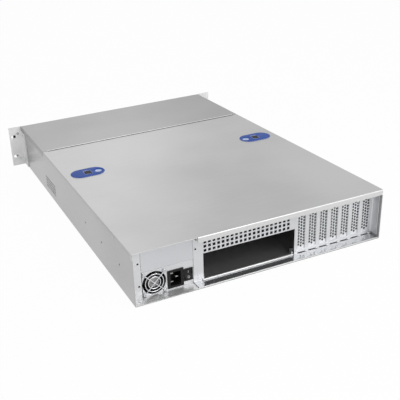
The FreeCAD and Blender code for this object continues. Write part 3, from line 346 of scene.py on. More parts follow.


# The cover's rear fold is painted paler: painted light where it faces the lamp.
COVER_STEEL = sheet_steel("cover_steel", 182, shine=0.34, along="X", where=lit_rear_fold, painted_level=212)
# The front cover is a darker copy of the cover's steel: painted shade, away from the lamp's reflection in the lid.
SHADED_FRONT_COVER_STEEL = sheet_steel("front_cover_painted_shade", 160, along="X")
# The tray's lip is painted paler and less metallic than its walls: painted light on the up-facing strip.
SIDE_STEEL = sheet_steel("side_steel", 174, shine=0.3, metal=0.8, where=lit_tray_lip, painted_level=206,
                         other_metal=0.55)
# The rear wall's foot is painted darker and glossier: a painted reflection of the dark bay.
WALL_STEEL = sheet_steel("wall_steel", 214, shine=0.32, cool=2, where=flat_foot, painted_level=190, other_metal=0.85,
                         other_shine=0.22)
# The slot covers' hole walls are painted nearly black: painted shade inside the holes.
SLOT_STEEL = sheet_steel("slot_steel", 226, soft=0.08 * MM, cool=2, where=shaded_hole_walls, painted_level=12, other_metal=0.0,
                         other_shine=0.6)
# A paler copy of the wall's steel for the sill, hem, tabs, loops and end plate: partly their rounded edges' light,
# partly a painted highlight.
PALE_HIGHLIGHT_STEEL = sheet_steel("sill_steel_painted_highlight", 230, shine=0.3)
# Nearly black for the hem's rear faces: painted shade in the seam's groove.
SEAM_SHADE_STEEL = sheet_steel("seam_painted_shade", 16, shine=0.8, metal=0.0)
SUPPLY_STEEL = sheet_steel("supply_steel", 214, cool=2)
BLANK_STEEL = sheet_steel("blank_steel", 208, cool=3)
# The ears are a much paler, barely metallic copy of the steel: painted light on faces turned to the lamp.
LIT_EAR_STEEL = sheet_steel("ear_steel_painted_light", 250, metal=0.15)
# The inner walls are a darker, bluish copy of the steel: painted shade of the dark bay.
SHADED_INNER_STEEL = sheet_steel("inner_steel_painted_shade", 190, shine=0.42, cool=10)
# The latch's paler rim colour is a painted highlight.
LATCH_BLUE = moulded("latch_blue", linear(26, 74, 164), 0.5, edge_highlight=linear(206, 214, 238))
# The dish's paler blue is a painted highlight.
DISH_HIGHLIGHT_BLUE = moulded("dish_painted_highlight", linear(176, 196, 238), 0.22, texture=0.02, gloss=0.7)
BUTTON_BLACK = moulded("button_black", linear(20, 20, 16), 0.6)
CONNECTOR_BLACK = moulded("connector_black", linear(13, 13, 14), 0.5)
FAN_BLACK = moulded("fan_black", linear(20, 20, 21), 0.5)
GUARD_WIRE = plated("guard_wire", linear(232, 233, 235), 0.24)
SCREW_ZINC = plated("screw_zinc", linear(206, 208, 212), 0.32)
PIN_METAL = plated("pin_metal", linear(168, 168, 166), 0.34)
HANDLE_ALLOY = plated("handle_alloy", linear(205, 207, 211), 0.36, streak=0.16)
HANDLE_BLACK = moulded("handle_black", linear(30, 30, 31), 0.4, gloss=0.15)
HUB_FOIL = sheet_steel("hub_foil", 168, shine=0.5, metal=0.25, spread=14)
POST_ZINC = plated("post_zinc", linear(176, 178, 182), 0.34)
LENS_CLEAR = moulded("lens_clear", linear(214, 222, 218), 0.16, texture=0.02, gloss=0.6)
MARK_WHITE = moulded("mark_white", linear(226, 226, 224), 0.5)
print("materials:", len(bpy.data.materials))

# %% [markdown]
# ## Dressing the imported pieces
#
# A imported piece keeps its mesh. Only its material slots change, which is all that a folded sheet or a moulded frame
# needs when its shape is already right.

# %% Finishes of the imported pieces
FINISHES = {
    "base_tray": SIDE_STEEL,
    "front_cover": SHADED_FRONT_COVER_STEEL,
    "top_cover": COVER_STEEL,
    "rear_panel": WALL_STEEL,
    "rear_left_angle": WALL_STEEL,
    "supply_blank_plate": BLANK_STEEL,
    "supply_housing": SUPPLY_STEEL,
    "supply_fan_frame": FAN_BLACK,
    "supply_fan_rotor": FAN_BLACK,
    "supply_fan_guard": GUARD_WIRE,
    "supply_fan_screws": SCREW_ZINC,
    "power_inlet": CONNECTOR_BLACK,
    "inlet_pins": PIN_METAL,
    "switch_frame": CONNECTOR_BLACK,
    "switch_rocker": CONNECTOR_BLACK,
    "slot_cover_screws": SCREW_ZINC,
    "handle_screws": SCREW_ZINC,
    "front_panel": WALL_STEEL,
    "power_button": HANDLE_ALLOY,
    "reset_button": HANDLE_ALLOY,
    "indicator_lights": LENS_CLEAR,
    "cross_brace": SHADED_INNER_STEEL,
    "fan_wall": SHADED_INNER_STEEL,
    "board_standoffs": POST_ZINC,
}
for side in ("left", "right"):
    FINISHES[f"ear_{side}"] = LIT_EAR_STEEL
    FINISHES[f"handle_{side}"] = HANDLE_BLACK
    FINISHES[f"latch_housing_{side}"] = LATCH_BLUE
    FINISHES[f"latch_button_{side}"] = BUTTON_BLACK
for name in NODES:
    if name.startswith("slot_cover_") and name not in FINISHES:
        FINISHES[name] = SLOT_STEEL
    if name.startswith("case_fan_"):
        FINISHES[name] = FAN_BLACK


def dress(node, material):
    """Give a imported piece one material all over."""
    mesh = NODES[node].data
    mesh.materials.clear()
    mesh.materials.append(material)


for node, material in FINISHES.items():
    dress(node, material)
print("dressed", len(FINISHES), "of", len(NODES), "packed pieces")

# %% [markdown]
# ## Helpers for modelling in code
#
# An operator works on whatever is selected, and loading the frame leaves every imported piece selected. So each step
# starts by letting everything go. Faces and edges are then chosen by where they are and which way they face, just as
# a hand would click on them. A small piece that belongs on a sloping face is made about the origin, and a ray finds
# the place and the slope for it.


# %% Selecting and finishing
def take(*things):
    """Leave edit mode and select these objects alone, the last one active."""
    if bpy.context.object and bpy.context.object.mode != "OBJECT":
        bpy.ops.object.mode_set(mode="OBJECT")
    bpy.ops.object.select_all(action="DESELECT")
    for thing in things:
        thing.select_set(True)
        bpy.context.view_layer.objects.active = thing


def settle(name):
    """Name the object just added, and put its place and turn into its mesh."""
    thing = bpy.context.object
    thing.name = name
    thing.data.name = name
    bpy.ops.object.transform_apply(location=True, rotation=True, scale=True)
    return thing


def pick(thing, kind, test):
    """Open a mesh with only the faces or edges selected that pass a test of their middle and direction."""
    take(thing)
    bpy.ops.object.mode_set(mode="EDIT")
    bpy.ops.mesh.select_mode(type=kind)
    bpy.ops.mesh.select_all(action="DESELECT")
    bpy.ops.object.mode_set(mode="OBJECT")
    mesh = thing.data
    if kind == "FACE":
        for face in mesh.polygons:
            face.select = test(face.center, face.normal)
    elif kind == "EDGE":
        for edge in mesh.edges:
            first, second = (mesh.vertices[index].co for index in edge.vertices)
            edge.select = test((first + second) / 2, (second - first).normalized())
    else:
        for point in mesh.vertices:
            point.select = test(point.co, point.normal)
    bpy.ops.object.mode_set(mode="EDIT")


def apply_modifier(thing, kind, **settings):
    """Add one modifier with these settings and apply it."""
    take(thing)
    bpy.ops.object.modifier_add(type=kind)
    modifier = thing.modifiers[-1]
    for name, setting in settings.items():
        setattr(modifier, name, setting)
    bpy.ops.object.modifier_apply(modifier=modifier.name)


def round_edges(thing, width, segments=2, angle=40.0):
    apply_modifier(thing, "BEVEL", width=width, segments=segments, limit_method="ANGLE",
                   angle_limit=math.radians(angle))


def cut_away(thing, cutter):
    """Take one closed shape out of another, and delete the cutter."""
    apply_modifier(thing, "BOOLEAN", operation="DIFFERENCE", object=cutter, solver="EXACT")
    bpy.data.objects.remove(cutter)


def joined(name, *things):
    """Several shapes as one object of several shells."""
    take(*things)
    bpy.ops.object.join()
    made = bpy.context.object
    made.name = name
    made.data.name = name
    return made


def copied(thing, name, shift):
    """A copy with a mesh of its own, moved."""
    made = thing.copy()
    made.data = thing.data.copy()
    made.name = made.data.name = name
    bpy.context.collection.objects.link(made)
    take(made)
    bpy.ops.transform.translate(value=shift)
    bpy.ops.object.transform_apply(location=True, rotation=False, scale=False)
    return made


def finished(thing, body, material, angle=35.0):
    """Smooth a piece's shading, and give it a material and a body to ride on."""
    take(thing)
    bpy.ops.object.shade_smooth_by_angle(angle=math.radians(angle))
    thing.data.materials.clear()
    thing.data.materials.append(material)
    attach(thing, body)
    return thing


def middle(node):
    low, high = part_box(node)
    return (low + high) / 2


def stand_on(thing, node, start, way, up=(0.0, 0.0, 1.0), lift=0.0):
    """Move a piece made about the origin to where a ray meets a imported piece, and turn its `up` outwards there."""
    hit, point, normal, _ = NODES[node].ray_cast(start, Vector(way))
    turn = Vector(up).rotation_difference(normal).to_matrix().to_4x4()
    thing.matrix_world = Matrix.Translation(point + normal * lift) @ turn
    take(thing)
    bpy.ops.object.transform_apply(location=True, rotation=True, scale=True)
    print(thing.name, "stands on", node, [round(value / MM, 1) for value in point] if hit else "nothing")


def box_between(name, low, high):
    """A block between two corners."""
    take()
    size = [b - a for a, b in zip(low, high)]
    centre = [(a + b) / 2 for a, b in zip(low, high)]
    bpy.ops.mesh.primitive_cube_add(size=1.0, location=centre)
    bpy.context.object.scale = size
    return settle(name)


# %% [markdown]
# ## The cover latches
#
# Each latch is a glossy blue moulding let into the cover: a flat plate with round ends, a window for the push button
# and a shallow thumb dish. A cylinder gives the round ends. Its two halves are pulled apart to lengthen it, the top
# edge is bevelled to a soft rim, and boolean cutters take out the window, the window's bevelled rim and the dish. The
# packed housing stays as the hidden stand-in for collisions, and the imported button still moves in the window.


# %% Latches
PLATE_TRIM = 1.9 * MM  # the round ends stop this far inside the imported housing's
PLUG_STEP = 2.4 * MM  # from the plate's edge to the plug below it
WINDOW_SLACK = 0.5 * MM
WINDOW_RIM = 0.8 * MM
DISH_SHIFT = 20 * MM  # from the plate's middle
DISH_REACH = 8.2 * MM
DISH_DEPTH = 1.9 * MM
DISH_HIGHLIGHT_SHARE = 0.75  # the part of its reach that is painted pale, a painted highlight


def latch_plate(node):
    """The moulded plate of one latch, with the plug below it. Its cylinder is turned by half a segment, so that no
    vertex lies on the middle line and each half moves whole."""
    low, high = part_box(node)
    centre = (low + high) / 2
    radius = (high.y - low.y) / 2
    proud = high.z - COVER_HIGH.z
    take()
    bpy.ops.mesh.primitive_cylinder_add(vertices=72, radius=radius, depth=proud,
                                        location=(centre.x, centre.y, high.z - proud / 2),
                                        rotation=(0.0, 0.0, math.radians(2.5)))
    plate = settle("new_" + node)
    stretch = (high.x - low.x) / 2 - radius - PLATE_TRIM
    for side in (-1, 1):
        pick(plate, "VERT", lambda point, normal: (point.x - centre.x) * side > 0.0)
        bpy.ops.transform.translate(value=(side * stretch, 0.0, 0.0))
    pick(plate, "FACE", lambda point, normal: normal.z < -0.9)
    bpy.ops.mesh.inset(thickness=PLUG_STEP)
    bpy.ops.mesh.extrude_region_move(TRANSFORM_OT_translate={"value": (0.0, 0.0, low.z - (high.z - proud))})
    pick(plate, "EDGE", lambda point, way: point.z > high.z - 0.01 * MM and abs(way.z) < 0.5)
    bpy.ops.mesh.bevel(offset=proud * 0.9, segments=4)
    return plate


def cut_window(plate, node, button):
    """Cut the button's window right through, then bevel its upper edge with a cutter that narrows downwards."""
    low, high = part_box(node)
    key_low, key_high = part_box(button)
    slack, rim = WINDOW_SLACK, WINDOW_SLACK + WINDOW_RIM
    window = box_between("window_cutter", (key_low.x - slack, key_low.y - slack, low.z - 1 * MM),
                         (key_high.x + slack, key_high.y + slack, high.z + 1 * MM))
    round_edges(window, 1.2 * MM, 3)
    cut_away(plate, window)
    flare = box_between("rim_cutter", (key_low.x - rim, key_low.y - rim, high.z - WINDOW_RIM),
                        (key_high.x + rim, key_high.y + rim, high.z + WINDOW_RIM))
    round_edges(flare, 1.6 * MM, 3)
    pick(flare, "FACE", lambda point, normal: normal.z < -0.9)
    narrower = [1.0 - 2 * WINDOW_RIM / size for size in (key_high - key_low).xy]
    bpy.ops.transform.resize(value=(*narrower, 1.0))
    cut_away(plate, flare)


def cut_dish(plate, dish):
    """Press a shallow round dish into the plate with a ball."""
    radius = (DISH_REACH ** 2 + DISH_DEPTH ** 2) / (2 * DISH_DEPTH)
    take()
    bpy.ops.mesh.primitive_uv_sphere_add(segments=96, ring_count=96, radius=radius,
                                         location=(dish.x, dish.y, dish.z - DISH_DEPTH + radius))
    cut_away(plate, settle("dish_cutter"))


def paint_dish_highlight(plate, dish):
    """Give the dish's floor the paler, glossier blue: a painted highlight."""
    plate.data.materials.append(DISH_HIGHLIGHT_BLUE)
    for face in plate.data.polygons:
        depth = dish.z - face.center.z
        near = (face.center - dish).xy.length < DISH_REACH * DISH_HIGHLIGHT_SHARE
        face.material_index = int(near and 0.05 * MM < depth < DISH_DEPTH * 1.1)


def latch(side, sign):
    node = f"latch_housing_{side}"
    plate = latch_plate(node)
    dish = Vector((middle(node).x - sign * DISH_SHIFT, middle(node).y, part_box(node)[1].z))
    cut_window(plate, node, f"latch_button_{side}")
    cut_dish(plate, dish)
    finished(plate, "cover", LATCH_BLUE)
    # The dish's pale floor is a painted highlight.
    paint_dish_highlight(plate, dish)
    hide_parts(node)
    return plate


LATCHES = [latch("left", 1), latch("right", -1)]
print("latches:", [(plate.name, len(plate.data.polygons)) for plate in LATCHES])

# %% [markdown]
# ## The fan guard and its screws
#
# A fan guard is bent from plated wire: rings welded behind crossed arms, each arm ending in an eye under a screw.
# Tori make the rings and the eyes, and the arms are thin cylinders whose ends stop at the eyes.

# %% Fan guard
GUARD_LOW, GUARD_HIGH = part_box("supply_fan_guard")
GUARD_MIDDLE = (GUARD_LOW + GUARD_HIGH) / 2
SCREW_LOW, SCREW_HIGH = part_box("supply_fan_screws")
PACKED_HEAD = 2.6 * MM  # radius of a packed screw's head
SCREW_REACH = (SCREW_HIGH.x - SCREW_LOW.x) / 2 - PACKED_HEAD  # from the fan's middle to a screw's, across or up
WIRE = 0.75 * MM  # radius
RING_RADII = (14.4 * MM, 9.6 * MM)
EYE_RADIUS = 2.5 * MM
ARM_STOP = 2.6 * MM  # from a screw's middle to the end of an arm
BACK_TURN = (math.radians(90), 0.0, 0.0)  # turns what points up to face the rear


def ring(name, radius, wire, place, rounds=64):
    take()
    bpy.ops.mesh.primitive_torus_add(major_radius=radius, minor_radius=wire, major_segments=rounds,
                                     minor_segments=10, location=place, rotation=BACK_TURN)
    return settle(name)


def arm(name, length, tilt):
    """A wire across the whole fan, in front of the rings."""
    take()
    bpy.ops.mesh.primitive_cylinder_add(vertices=12, radius=WIRE, depth=length,
                                        location=(GUARD_MIDDLE.x, GUARD_LOW.y + WIRE * 2.2, GUARD_MIDDLE.z),
                                        rotation=(0.0, math.radians(tilt), 0.0))
    made = settle(name)
    round_edges(made, WIRE * 0.5, 2)
    return made


def fan_guard():
    centre = Vector((GUARD_MIDDLE.x, GUARD_LOW.y + WIRE, GUARD_MIDDLE.z))
    wires = [ring(f"guard_ring_{number}", radius, WIRE, centre) for number, radius in enumerate(RING_RADII)]
    reach = SCREW_REACH * math.sqrt(2) - ARM_STOP
    wires += [arm(f"guard_arm_{number}", reach * 2, tilt) for number, tilt in enumerate((45, 135))]
    for across in (-1, 1):
        for up in (-1, 1):
            place = centre + Vector((across * SCREW_REACH, 0.0, up * SCREW_REACH))
            wires.append(ring("guard_eye", EYE_RADIUS, WIRE * 0.9, place, 24))
    guard = joined("wire_fan_guard", *wires)
    finished(guard, "chassis", GUARD_WIRE, 60.0)
    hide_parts("supply_fan_guard")
    return guard


print("guard:", len(fan_guard().data.polygons), "faces")

# %% [markdown]
# Between the arms shows the rotor's hub. It is closed by a turned disc that reaches out to the guard, with a
# shallow ring round its middle: an inset of the disc's face, pressed inwards. It rides on the rotor, so it turns with
# the blades.

# %% Hub disc
ROTOR_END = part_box("supply_fan_rotor")[1].y
HUB_RADIUS = 8.6 * MM
HUB_FRONT = GUARD_LOW.y - 1.7 * MM


def hub_disc():
    take()
    bpy.ops.mesh.primitive_cylinder_add(
        vertices=64, radius=HUB_RADIUS, depth=HUB_FRONT - ROTOR_END, rotation=BACK_TURN,
        location=(GUARD_MIDDLE.x, (HUB_FRONT + ROTOR_END) / 2, GUARD_MIDDLE.z))
    disc = settle("supply_hub_disc")

    def centre_face(point, normal):
        return normal.y > 0.9 and (point - GUARD_MIDDLE).xz.length < 0.5 * MM

    for share, step in ((0.16, -0.25), (0.12, 0.25)):
        pick(disc, "FACE", centre_face)
        bpy.ops.mesh.inset(thickness=HUB_RADIUS * share)
        pick(disc, "FACE", centre_face)
        bpy.ops.mesh.extrude_region_move(TRANSFORM_OT_translate={"value": (0.0, step * MM, 0.0)})
    round_edges(disc, 0.15 * MM, 2, 50.0)
    return finished(disc, "supply_rotor", HUB_FOIL)


print("hub disc:", len(hub_disc().data.polygons), "faces")

# %% [markdown]
# A pan head is a short cylinder with one rim bevelled to a dome. Two slim blocks at right angles cut its crossed
# recess. The first screw is modelled, and the other three are copies.


# %% Pan-head screws
def pan_screw(name, place, radius, height):
    """A screw head that faces the rear, with a crossed recess."""
    take()
    bpy.ops.mesh.primitive_cylinder_add(vertices=32, radius=radius, depth=height,
                                        location=place + Vector((0.0, height / 2, 0.0)), rotation=BACK_TURN)
    head = settle(name)
    face = place.y + height
    pick(head, "EDGE", lambda point, way: point.y > face - 0.01 * MM)
    bpy.ops.mesh.bevel(offset=height * 0.6, segments=4)
    for wide, tall in ((1.1, 0.24), (0.24, 1.1)):
        half = Vector((radius * wide / 2, 0.0, radius * tall / 2))
        slit = box_between("recess_cutter", place - half + Vector((0.0, height * 0.45, 0.0)),
                           place + half + Vector((0.0, height * 2, 0.0)))
        cut_away(head, slit)
    return head


def fan_screws():
    first = GUARD_MIDDLE + Vector((-SCREW_REACH, 0.0, -SCREW_REACH))
    first.y = SCREW_LOW.y - 0.4 * MM
    heads = [pan_screw("fan_screw_1", first, 3.0 * MM, SCREW_HIGH.y - first.y)]
    for across, up in ((1, 0), (0, 1), (1, 1)):
        shift = (across * SCREW_REACH * 2, 0.0, up * SCREW_REACH * 2)
        heads.append(copied(heads[0], f"fan_screw_{len(heads) + 1}", shift))
    for head in heads:
        finished(head, "chassis", SCREW_ZINC)
    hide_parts("supply_fan_screws")
    return heads


print("fan screws:", [head.name for head in fan_screws()])

# %% [markdown]
# ## The mains inlet and the switch
#
# A mains socket has two cut-off corners on the side of its earth pin, so a plug goes in only one way. Two small
# prisms fill those corners: each is a block in the corner, cut along its diagonal. The rocker carries the usual two
# marks, a bar for on and a ring for off. A ray shot at the rocker finds the slope they lie on.

# %% Inlet corners and switch marks
INLET_LOW, INLET_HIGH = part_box("power_inlet")
SOCKET_WALL = 3.2 * MM
CORNER_REACH = 5.0 * MM
CORNER_DEPTH = 9.0 * MM
CORNER_SUNK = 2.0 * MM  # behind the socket's face
MARK_RISE = 4.2 * MM  # from the rocker's middle to a mark's


def inlet_corner(up, height):
    """A block in one corner of the socket, cut along its diagonal."""
    side, far = INLET_LOW.x + SOCKET_WALL, INLET_HIGH.y - CORNER_SUNK
    block = box_between("inlet_corner", (side, far - CORNER_DEPTH, height),
                        (side + CORNER_REACH, far, height + up * CORNER_REACH))
    take(block)
    bpy.ops.object.mode_set(mode="EDIT")
    bpy.ops.mesh.select_all(action="SELECT")
    diagonal = Vector((side + CORNER_REACH / 2, far, height + up * CORNER_REACH / 2))
    bpy.ops.mesh.bisect(plane_co=diagonal, plane_no=(1.0, 0.0, up), use_fill=True, clear_outer=True)
    bpy.ops.mesh.select_all(action="SELECT")
    bpy.ops.mesh.normals_make_consistent(inside=False)
    bpy.ops.object.mode_set(mode="OBJECT")
    return block


def inlet_corners():
    upper, lower = INLET_HIGH.z - SOCKET_WALL, INLET_LOW.z + SOCKET_WALL
    made = joined("inlet_corners", inlet_corner(-1, upper), inlet_corner(1, lower))
    round_edges(made, 0.25 * MM, 2)
    return finished(made, "chassis", CONNECTOR_BLACK)


def switch_marks():
    half = Vector((0.35, 0.1, 1.7)) * MM
    bar = box_between("switch_mark_on", -half, half)
    round_edges(bar, 0.1 * MM, 2)
    take()
    bpy.ops.mesh.primitive_torus_add(major_radius=1.45 * MM, minor_radius=0.33 * MM, major_segments=40,
                                     minor_segments=8, rotation=BACK_TURN)
    circle = settle("switch_mark_off")
    centre = middle("switch_rocker")
    for mark, up in ((bar, 1), (circle, -1)):
        start = Vector((centre.x, CASE_HIGH.y + 0.1, centre.z + up * MARK_RISE))
        stand_on(mark, "switch_rocker", start, FORWARD, up=(0.0, 1.0, 0.0), lift=0.05 * MM)
        finished(mark, "mains_switch", MARK_WHITE, 60.0)


print("inlet corners:", len(inlet_corners().data.polygons), "faces")
switch_marks()

# %% [markdown]
# ## Rivets and foot loops
#
# The rear wall's foot is riveted to the tray's lip, and more rivets hold the side walls and the covers. A rivet head
# is a low dome: a short cylinder whose upper edge is bevelled almost to its middle. A ray shot at the sheet finds
# where each one sits.


# %% Rivets
FOOT_TOP = 2.4 * MM
FOOT_ROW = WALL_FACE / MM + 9.5
RIVETS = (  # name, the piece it sits on, its body, where the ray starts and its way, radius and height in mm
    ("foot_rivet_1", "rear_panel", "chassis", (101.0, FOOT_ROW, 20.0), DOWN, 2.1, 0.7),
    ("foot_rivet_2", "rear_panel", "chassis", (-70.5, FOOT_ROW, 20.0), DOWN, 2.1, 0.7),
    ("foot_rivet_3", "rear_panel", "chassis", (-141.0, FOOT_ROW, 20.0), DOWN, 2.1, 0.7),
    ("foot_rivet_4", "rear_panel", "chassis", (-190.0, FOOT_ROW, 20.0), DOWN, 2.1, 0.7),
    ("tray_rivet", "base_tray", "chassis", (201.5, FOOT_ROW, 20.0), DOWN, 2.1, 0.7),
    ("wall_rivet", "rear_panel", "chassis", (104.0, 700.0, 13.0), FORWARD, 1.5, 0.5),
    ("angle_rivet_low", "rear_left_angle", "chassis", (206.5, 700.0, 9.0), FORWARD, 1.7, 0.5),
    ("angle_rivet_high", "rear_left_angle", "chassis", (206.5, 700.0, 79.0), FORWARD, 1.3, 0.4),
    ("inner_rivet", "base_tray", "chassis", (-190.0, 631.0, 27.0), TO_RIGHT, 2.0, 0.6),
    ("side_rivet_1", "base_tray", "chassis", (300.0, 173.0, 52.5), TO_RIGHT, 1.6, 0.4),
    ("side_rivet_2", "base_tray", "chassis", (300.0, 168.0, 15.0), TO_RIGHT, 1.6, 0.4),
    ("cover_rivet", "top_cover", "cover", (300.0, 571.0, 80.5), TO_RIGHT, 1.8, 0.4),
)


def rivet(name, radius, height):
    """A low dome on the origin, pointing up."""
    take()
    bpy.ops.mesh.primitive_cylinder_add(vertices=24, radius=radius, depth=height, location=(0.0, 0.0, height / 2))
    head = settle(name)
    pick(head, "EDGE", lambda point, way: point.z > height * 0.9)
    bpy.ops.mesh.bevel(offset=height * 0.85, segments=4)
    return head


for name, node, body, start, way, radius, height in RIVETS:
    head = rivet(name, radius * MM, height * MM)
    stand_on(head, node, Vector(start) * MM, way)
    finished(head, body, SCREW_ZINC, 60.0)
print("rivets:", len(RIVETS))

# %% [markdown]
# Pan-head screws hold each ear's leg to the side wall. They are made like the fan's, laid on their backs and stood on
# the leg.

# %% Ear screws
EAR_SCREW_ROW = 20.0  # mm behind the rack plane
EAR_SCREW_HEIGHTS = (17.0, 69.0)  # mm


def ear_screw(name, node, sign, height):
    head = pan_screw(name, Vector((0.0, 0.0, 0.0)), 3.0 * MM, 0.9 * MM)
    head.matrix_world = Matrix.Rotation(math.radians(90), 4, "X")
    take(head)
    bpy.ops.object.transform_apply(location=True, rotation=True, scale=True)
    stand_on(head, node, Vector((sign * 300.0, EAR_SCREW_ROW, height)) * MM, (-sign, 0.0, 0.0))
    finished(head, "chassis", SCREW_ZINC)


for side, sign in (("left", 1), ("right", -1)):
    for number, height in enumerate(EAR_SCREW_HEIGHTS, 1):
        ear_screw(f"ear_screw_{side}_{number}", f"ear_{side}", sign, height)

# %% [markdown]
# Each slot cover's tongue is held by a small loop, pressed out of the rear wall's foot beside it.

# %% Foot loops
LOOP_SIZE = Vector((3.0, 1.6, 2.0)) * MM
LOOP_SHIFT = 8.6 * MM  # from the slot cover's middle


def foot_loop(number):
    low = Vector((middle(f"slot_cover_{number}").x - LOOP_SHIFT - LOOP_SIZE.x / 2, WALL_FACE, FOOT_TOP))
    loop = box_between(f"foot_loop_{number}", low, low + LOOP_SIZE)
    round_edges(loop, 0.7 * MM, 3)
    return finished(loop, "chassis", PALE_HIGHLIGHT_STEEL, 60.0)


print("loops:", [foot_loop(number).name for number in range(1, 8)])

# %% [markdown]
# ## The perforated slot covers
#
# The seven blanking brackets are alike: a plate behind the wall, a tab that turns over the ledge, a narrower tongue
# at the foot and three staggered columns of hexagonal holes. One is built from two blocks, then a cutter of many
# six-sided cylinders takes out all the holes at once. The other six are copies, one slot pitch apart.


# %% Slot covers
WALL_SHEET = 1.2 * MM
COVER_SHEET = 0.8 * MM
TONGUE_WIDTH = 10.2 * MM
TONGUE_HEIGHT = 7.4 * MM
HOLE_SIZE = 4.1 * MM  # corner to corner
HOLE_COLUMN = 4.6 * MM
HOLE_RISE = 5.1 * MM
HOLE_BASE = 14.0 * MM
HOLE_ROWS = 11


def perforations(centre, thickness_middle):
    """Three columns of six-sided cylinders, the outer two half a row higher."""
    cutters = []
    for column in (-1, 0, 1):
        for row in range(HOLE_ROWS):
            height = HOLE_BASE + (row + abs(column) / 2) * HOLE_RISE
            take()
            bpy.ops.mesh.primitive_cylinder_add(
                vertices=6, radius=HOLE_SIZE / 2, depth=6 * MM,
                location=(centre + column * HOLE_COLUMN, thickness_middle, height),
                rotation=(math.radians(90), math.radians(30), 0.0))
            cutters.append(settle("hole_cutter"))
    return joined("hole_cutters", *cutters)


def perforated_cover(name, low, high):
    plate_back = WALL_FACE - WALL_SHEET
    plate = box_between(name, low, (high.x, plate_back, high.z))
    tab = box_between("tab", (low.x, low.y, high.z - COVER_SHEET), high)
    apply_modifier(plate, "BOOLEAN", operation="UNION", object=tab, solver="EXACT")
    bpy.data.objects.remove(tab)
    centre = (low.x + high.x) / 2
    for side in (-1, 1):
        span = sorted((centre + side * TONGUE_WIDTH / 2, centre + side * 20 * MM))
        cut_away(plate, box_between("shoulder_cutter", (span[0], low.y - 5 * MM, -5 * MM),
                                    (span[1], plate_back + 5 * MM, TONGUE_HEIGHT)))
    cut_away(plate, perforations(centre, (low.y + plate_back) / 2))
    return plate


def slot_covers():
    low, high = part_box("slot_cover_1")
    covers = [perforated_cover("new_slot_cover_1", low, high)]
    for number in range(2, 8):
        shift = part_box(f"slot_cover_{number}")[0] - low
        covers.append(copied(covers[0], f"new_slot_cover_{number}", shift))
    for number, cover in enumerate(covers, 1):
        finished(cover, "chassis", SLOT_STEEL)
        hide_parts(f"slot_cover_{number}")
    return covers


print("slot covers:", [len(cover.data.polygons) for cover in slot_covers()])

# %% [markdown]
# ## The sill and the seam
#
# Under the board's aperture the sheet isn't cut down to its foot. A rounded sill is left, which catches the light as
# a bright line below the dark opening, with a small tab at each end. The front cover ends in a narrow turned-under
# hem, which does the same above the seam between the two covers. The sill and the hem are long bars with well rounded
# edges, in a paler copy of the steel: their bright line is partly the rounded edge's light and partly a painted
# highlight. The hem's rear faces are painted nearly black, a painted shade in the seam's groove.


# %% Sill and hem
APERTURE_LOW, APERTURE_HIGH = -61.07 * MM, 97.68 * MM  # across the wall
SILL_RADIUS = 1.1 * MM
HEM_INSET = 11 * MM  # from each end of the front cover
HEM_RADIUS = 0.3 * MM
TAB_WIDTH = 2.2 * MM
FRONT_LOW, FRONT_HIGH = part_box("front_cover")


def long_bar(name, low, high, radius):
    bar = box_between(name, low, high)
    round_edges(bar, radius, 4)
    return finished(bar, "chassis", PALE_HIGHLIGHT_STEEL, 60.0)


sill = long_bar("aperture_sill", (APERTURE_LOW, WALL_FACE - 0.6 * MM, FOOT_TOP - 0.2 * MM),
                (APERTURE_HIGH, WALL_FACE + 2.8 * MM, FOOT_TOP + 2.3 * MM), SILL_RADIUS)
hem = long_bar("front_cover_hem", (FRONT_LOW.x + HEM_INSET, FRONT_HIGH.y - 2.4 * MM, FRONT_HIGH.z - 0.4 * MM),
               (FRONT_HIGH.x - HEM_INSET, FRONT_HIGH.y + 0.9 * MM, FRONT_HIGH.z + 0.78 * MM), HEM_RADIUS)
# The hem's rear-facing faces take the nearly black steel: painted shade of the seam.
hem.data.materials.append(SEAM_SHADE_STEEL)
for face in hem.data.polygons:
    face.material_index = int(face.normal.y > 0.2)
print("sill and hem:", [round(piece.dimensions.x / MM, 1) for piece in (sill, hem)], "mm long")

# %% Tabs beside the sill
for side, edge in ((-1, APERTURE_LOW), (1, APERTURE_HIGH)):
    low, high = sorted((edge, edge - side * TAB_WIDTH))
    tab = box_between("shield_tab", (low, WALL_FACE - 1.1 * MM, FOOT_TOP + 2.2 * MM),
                      (high, WALL_FACE - 0.1 * MM, FOOT_TOP + 4.8 * MM))
    round_edges(tab, 0.35 * MM, 3)
    finished(tab, "chassis", PALE_HIGHLIGHT_STEEL, 60.0)
    print(tab.name, "at", round(edge / MM, 1), "mm")

# %% [markdown]
# The sliding cover's rear fold is hollow, and stops beside the power supply. A small plate closes its end.

# %% End plate of the fold
fold_end = box_between("cover_fold_tab",
                       (WALL_HIGH.x - 1.3 * MM, COVER_HIGH.y - 7.4 * MM, COVER_HIGH.z - 7.4 * MM),
                       (WALL_HIGH.x - 0.1 * MM, COVER_HIGH.y - 0.3 * MM, COVER_HIGH.z - 1.1 * MM))
round_edges(fold_end, 0.3 * MM, 2)
finished(fold_end, "cover", PALE_HIGHLIGHT_STEEL)
print("end plate:", [round(value / MM, 1) for value in fold_end.dimensions], "mm")

# %% [markdown]
# ## The studio
#
# The floor and the world look white to the camera and in reflections, and give the case a softer, greyer light. A
# large soft lamp hangs behind the camera's right shoulder, so the top and the rear wall are bright and the long left
# side is a step darker. A weak one in front of the case is there for its reflection in the lid, and one overhead
# fills the rest.


# %% Floor, world and lamps
FLOOR_GLOW = 0.97  # how much of the floor's white is glow where it is seen directly
AMBIENT = 0.42  # the world's strength as a light


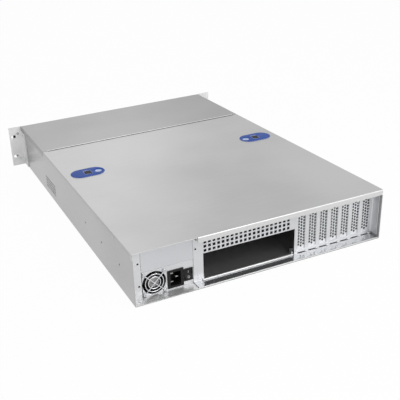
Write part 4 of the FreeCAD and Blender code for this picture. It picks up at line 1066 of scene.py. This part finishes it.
def seen_directly(begin):
    """One for rays from the camera, a reflection or through glass, and nought for the rest."""
    camera_ray, glossy_ray, glass_ray = (begin.node("LightPath", output=f"Is {kind} Ray")
                                         for kind in ("Camera", "Glossy", "Transmission"))
    return camera_ray.most(glossy_ray.most(glass_ray))


def studio_floor():
    bpy.ops.mesh.primitive_plane_add(size=12.0, location=(0.0, 0.3, CASE_LOW.z - 0.4 * MM))
    floor = bpy.context.object
    floor.name = "studio_floor"
    material, begin = start_material("floor_white")
    matte = begin.node("BsdfDiffuse", {"Color": (0.86, 0.86, 0.86, 1.0)})
    glow = begin.node("Emission", {"Color": (1.0, 1.0, 1.0, 1.0), "Strength": 1.0})
    mixed = begin.node("MixShader", {0: seen_directly(begin) * FLOOR_GLOW, 1: matte, 2: glow})
    output = begin.tree.nodes.new("ShaderNodeOutputMaterial")
    begin.tree.links.new(mixed.socket, output.inputs["Surface"])
    floor.data.materials.append(material)


def studio_world():
    world = bpy.data.worlds.new("studio")
    bpy.context.scene.world = world
    world.use_nodes = True
    world.node_tree.nodes.clear()
    begin = Signal(world.node_tree)
    ambient = begin.node("Background", {"Color": (1.0, 1.0, 1.0, 1.0), "Strength": AMBIENT})
    white = begin.node("Background", {"Color": (1.0, 1.0, 1.0, 1.0), "Strength": 1.0})
    mixed = begin.node("MixShader", {0: seen_directly(begin), 1: ambient, 2: white})
    output = begin.tree.nodes.new("ShaderNodeOutputWorld")
    begin.tree.links.new(mixed.socket, output.inputs["Surface"])


def soft_lamp(name, place, aim, size, watts):
    """A square lamp at a place, turned to face a point."""
    bpy.ops.object.light_add(type="AREA", location=place)
    lamp = bpy.context.object
    lamp.name = name
    lamp.rotation_euler = (Vector(aim) - Vector(place)).to_track_quat("-Z", "Y").to_euler()
    lamp.data.size = size
    lamp.data.energy = watts


studio_floor()
studio_world()
soft_lamp("key_lamp", (-0.5, 1.75, 1.05), (0.0, 0.5, 0.05), 1.3, 15.0)
soft_lamp("far_lamp", (-0.45, -1.6, 1.15), (0.05, 0.5, 0.08), 0.8, 1.4)
soft_lamp("top_lamp", (0.0, 0.9, 2.2), (0.0, 0.4, 0.0), 1.6, 5.0)
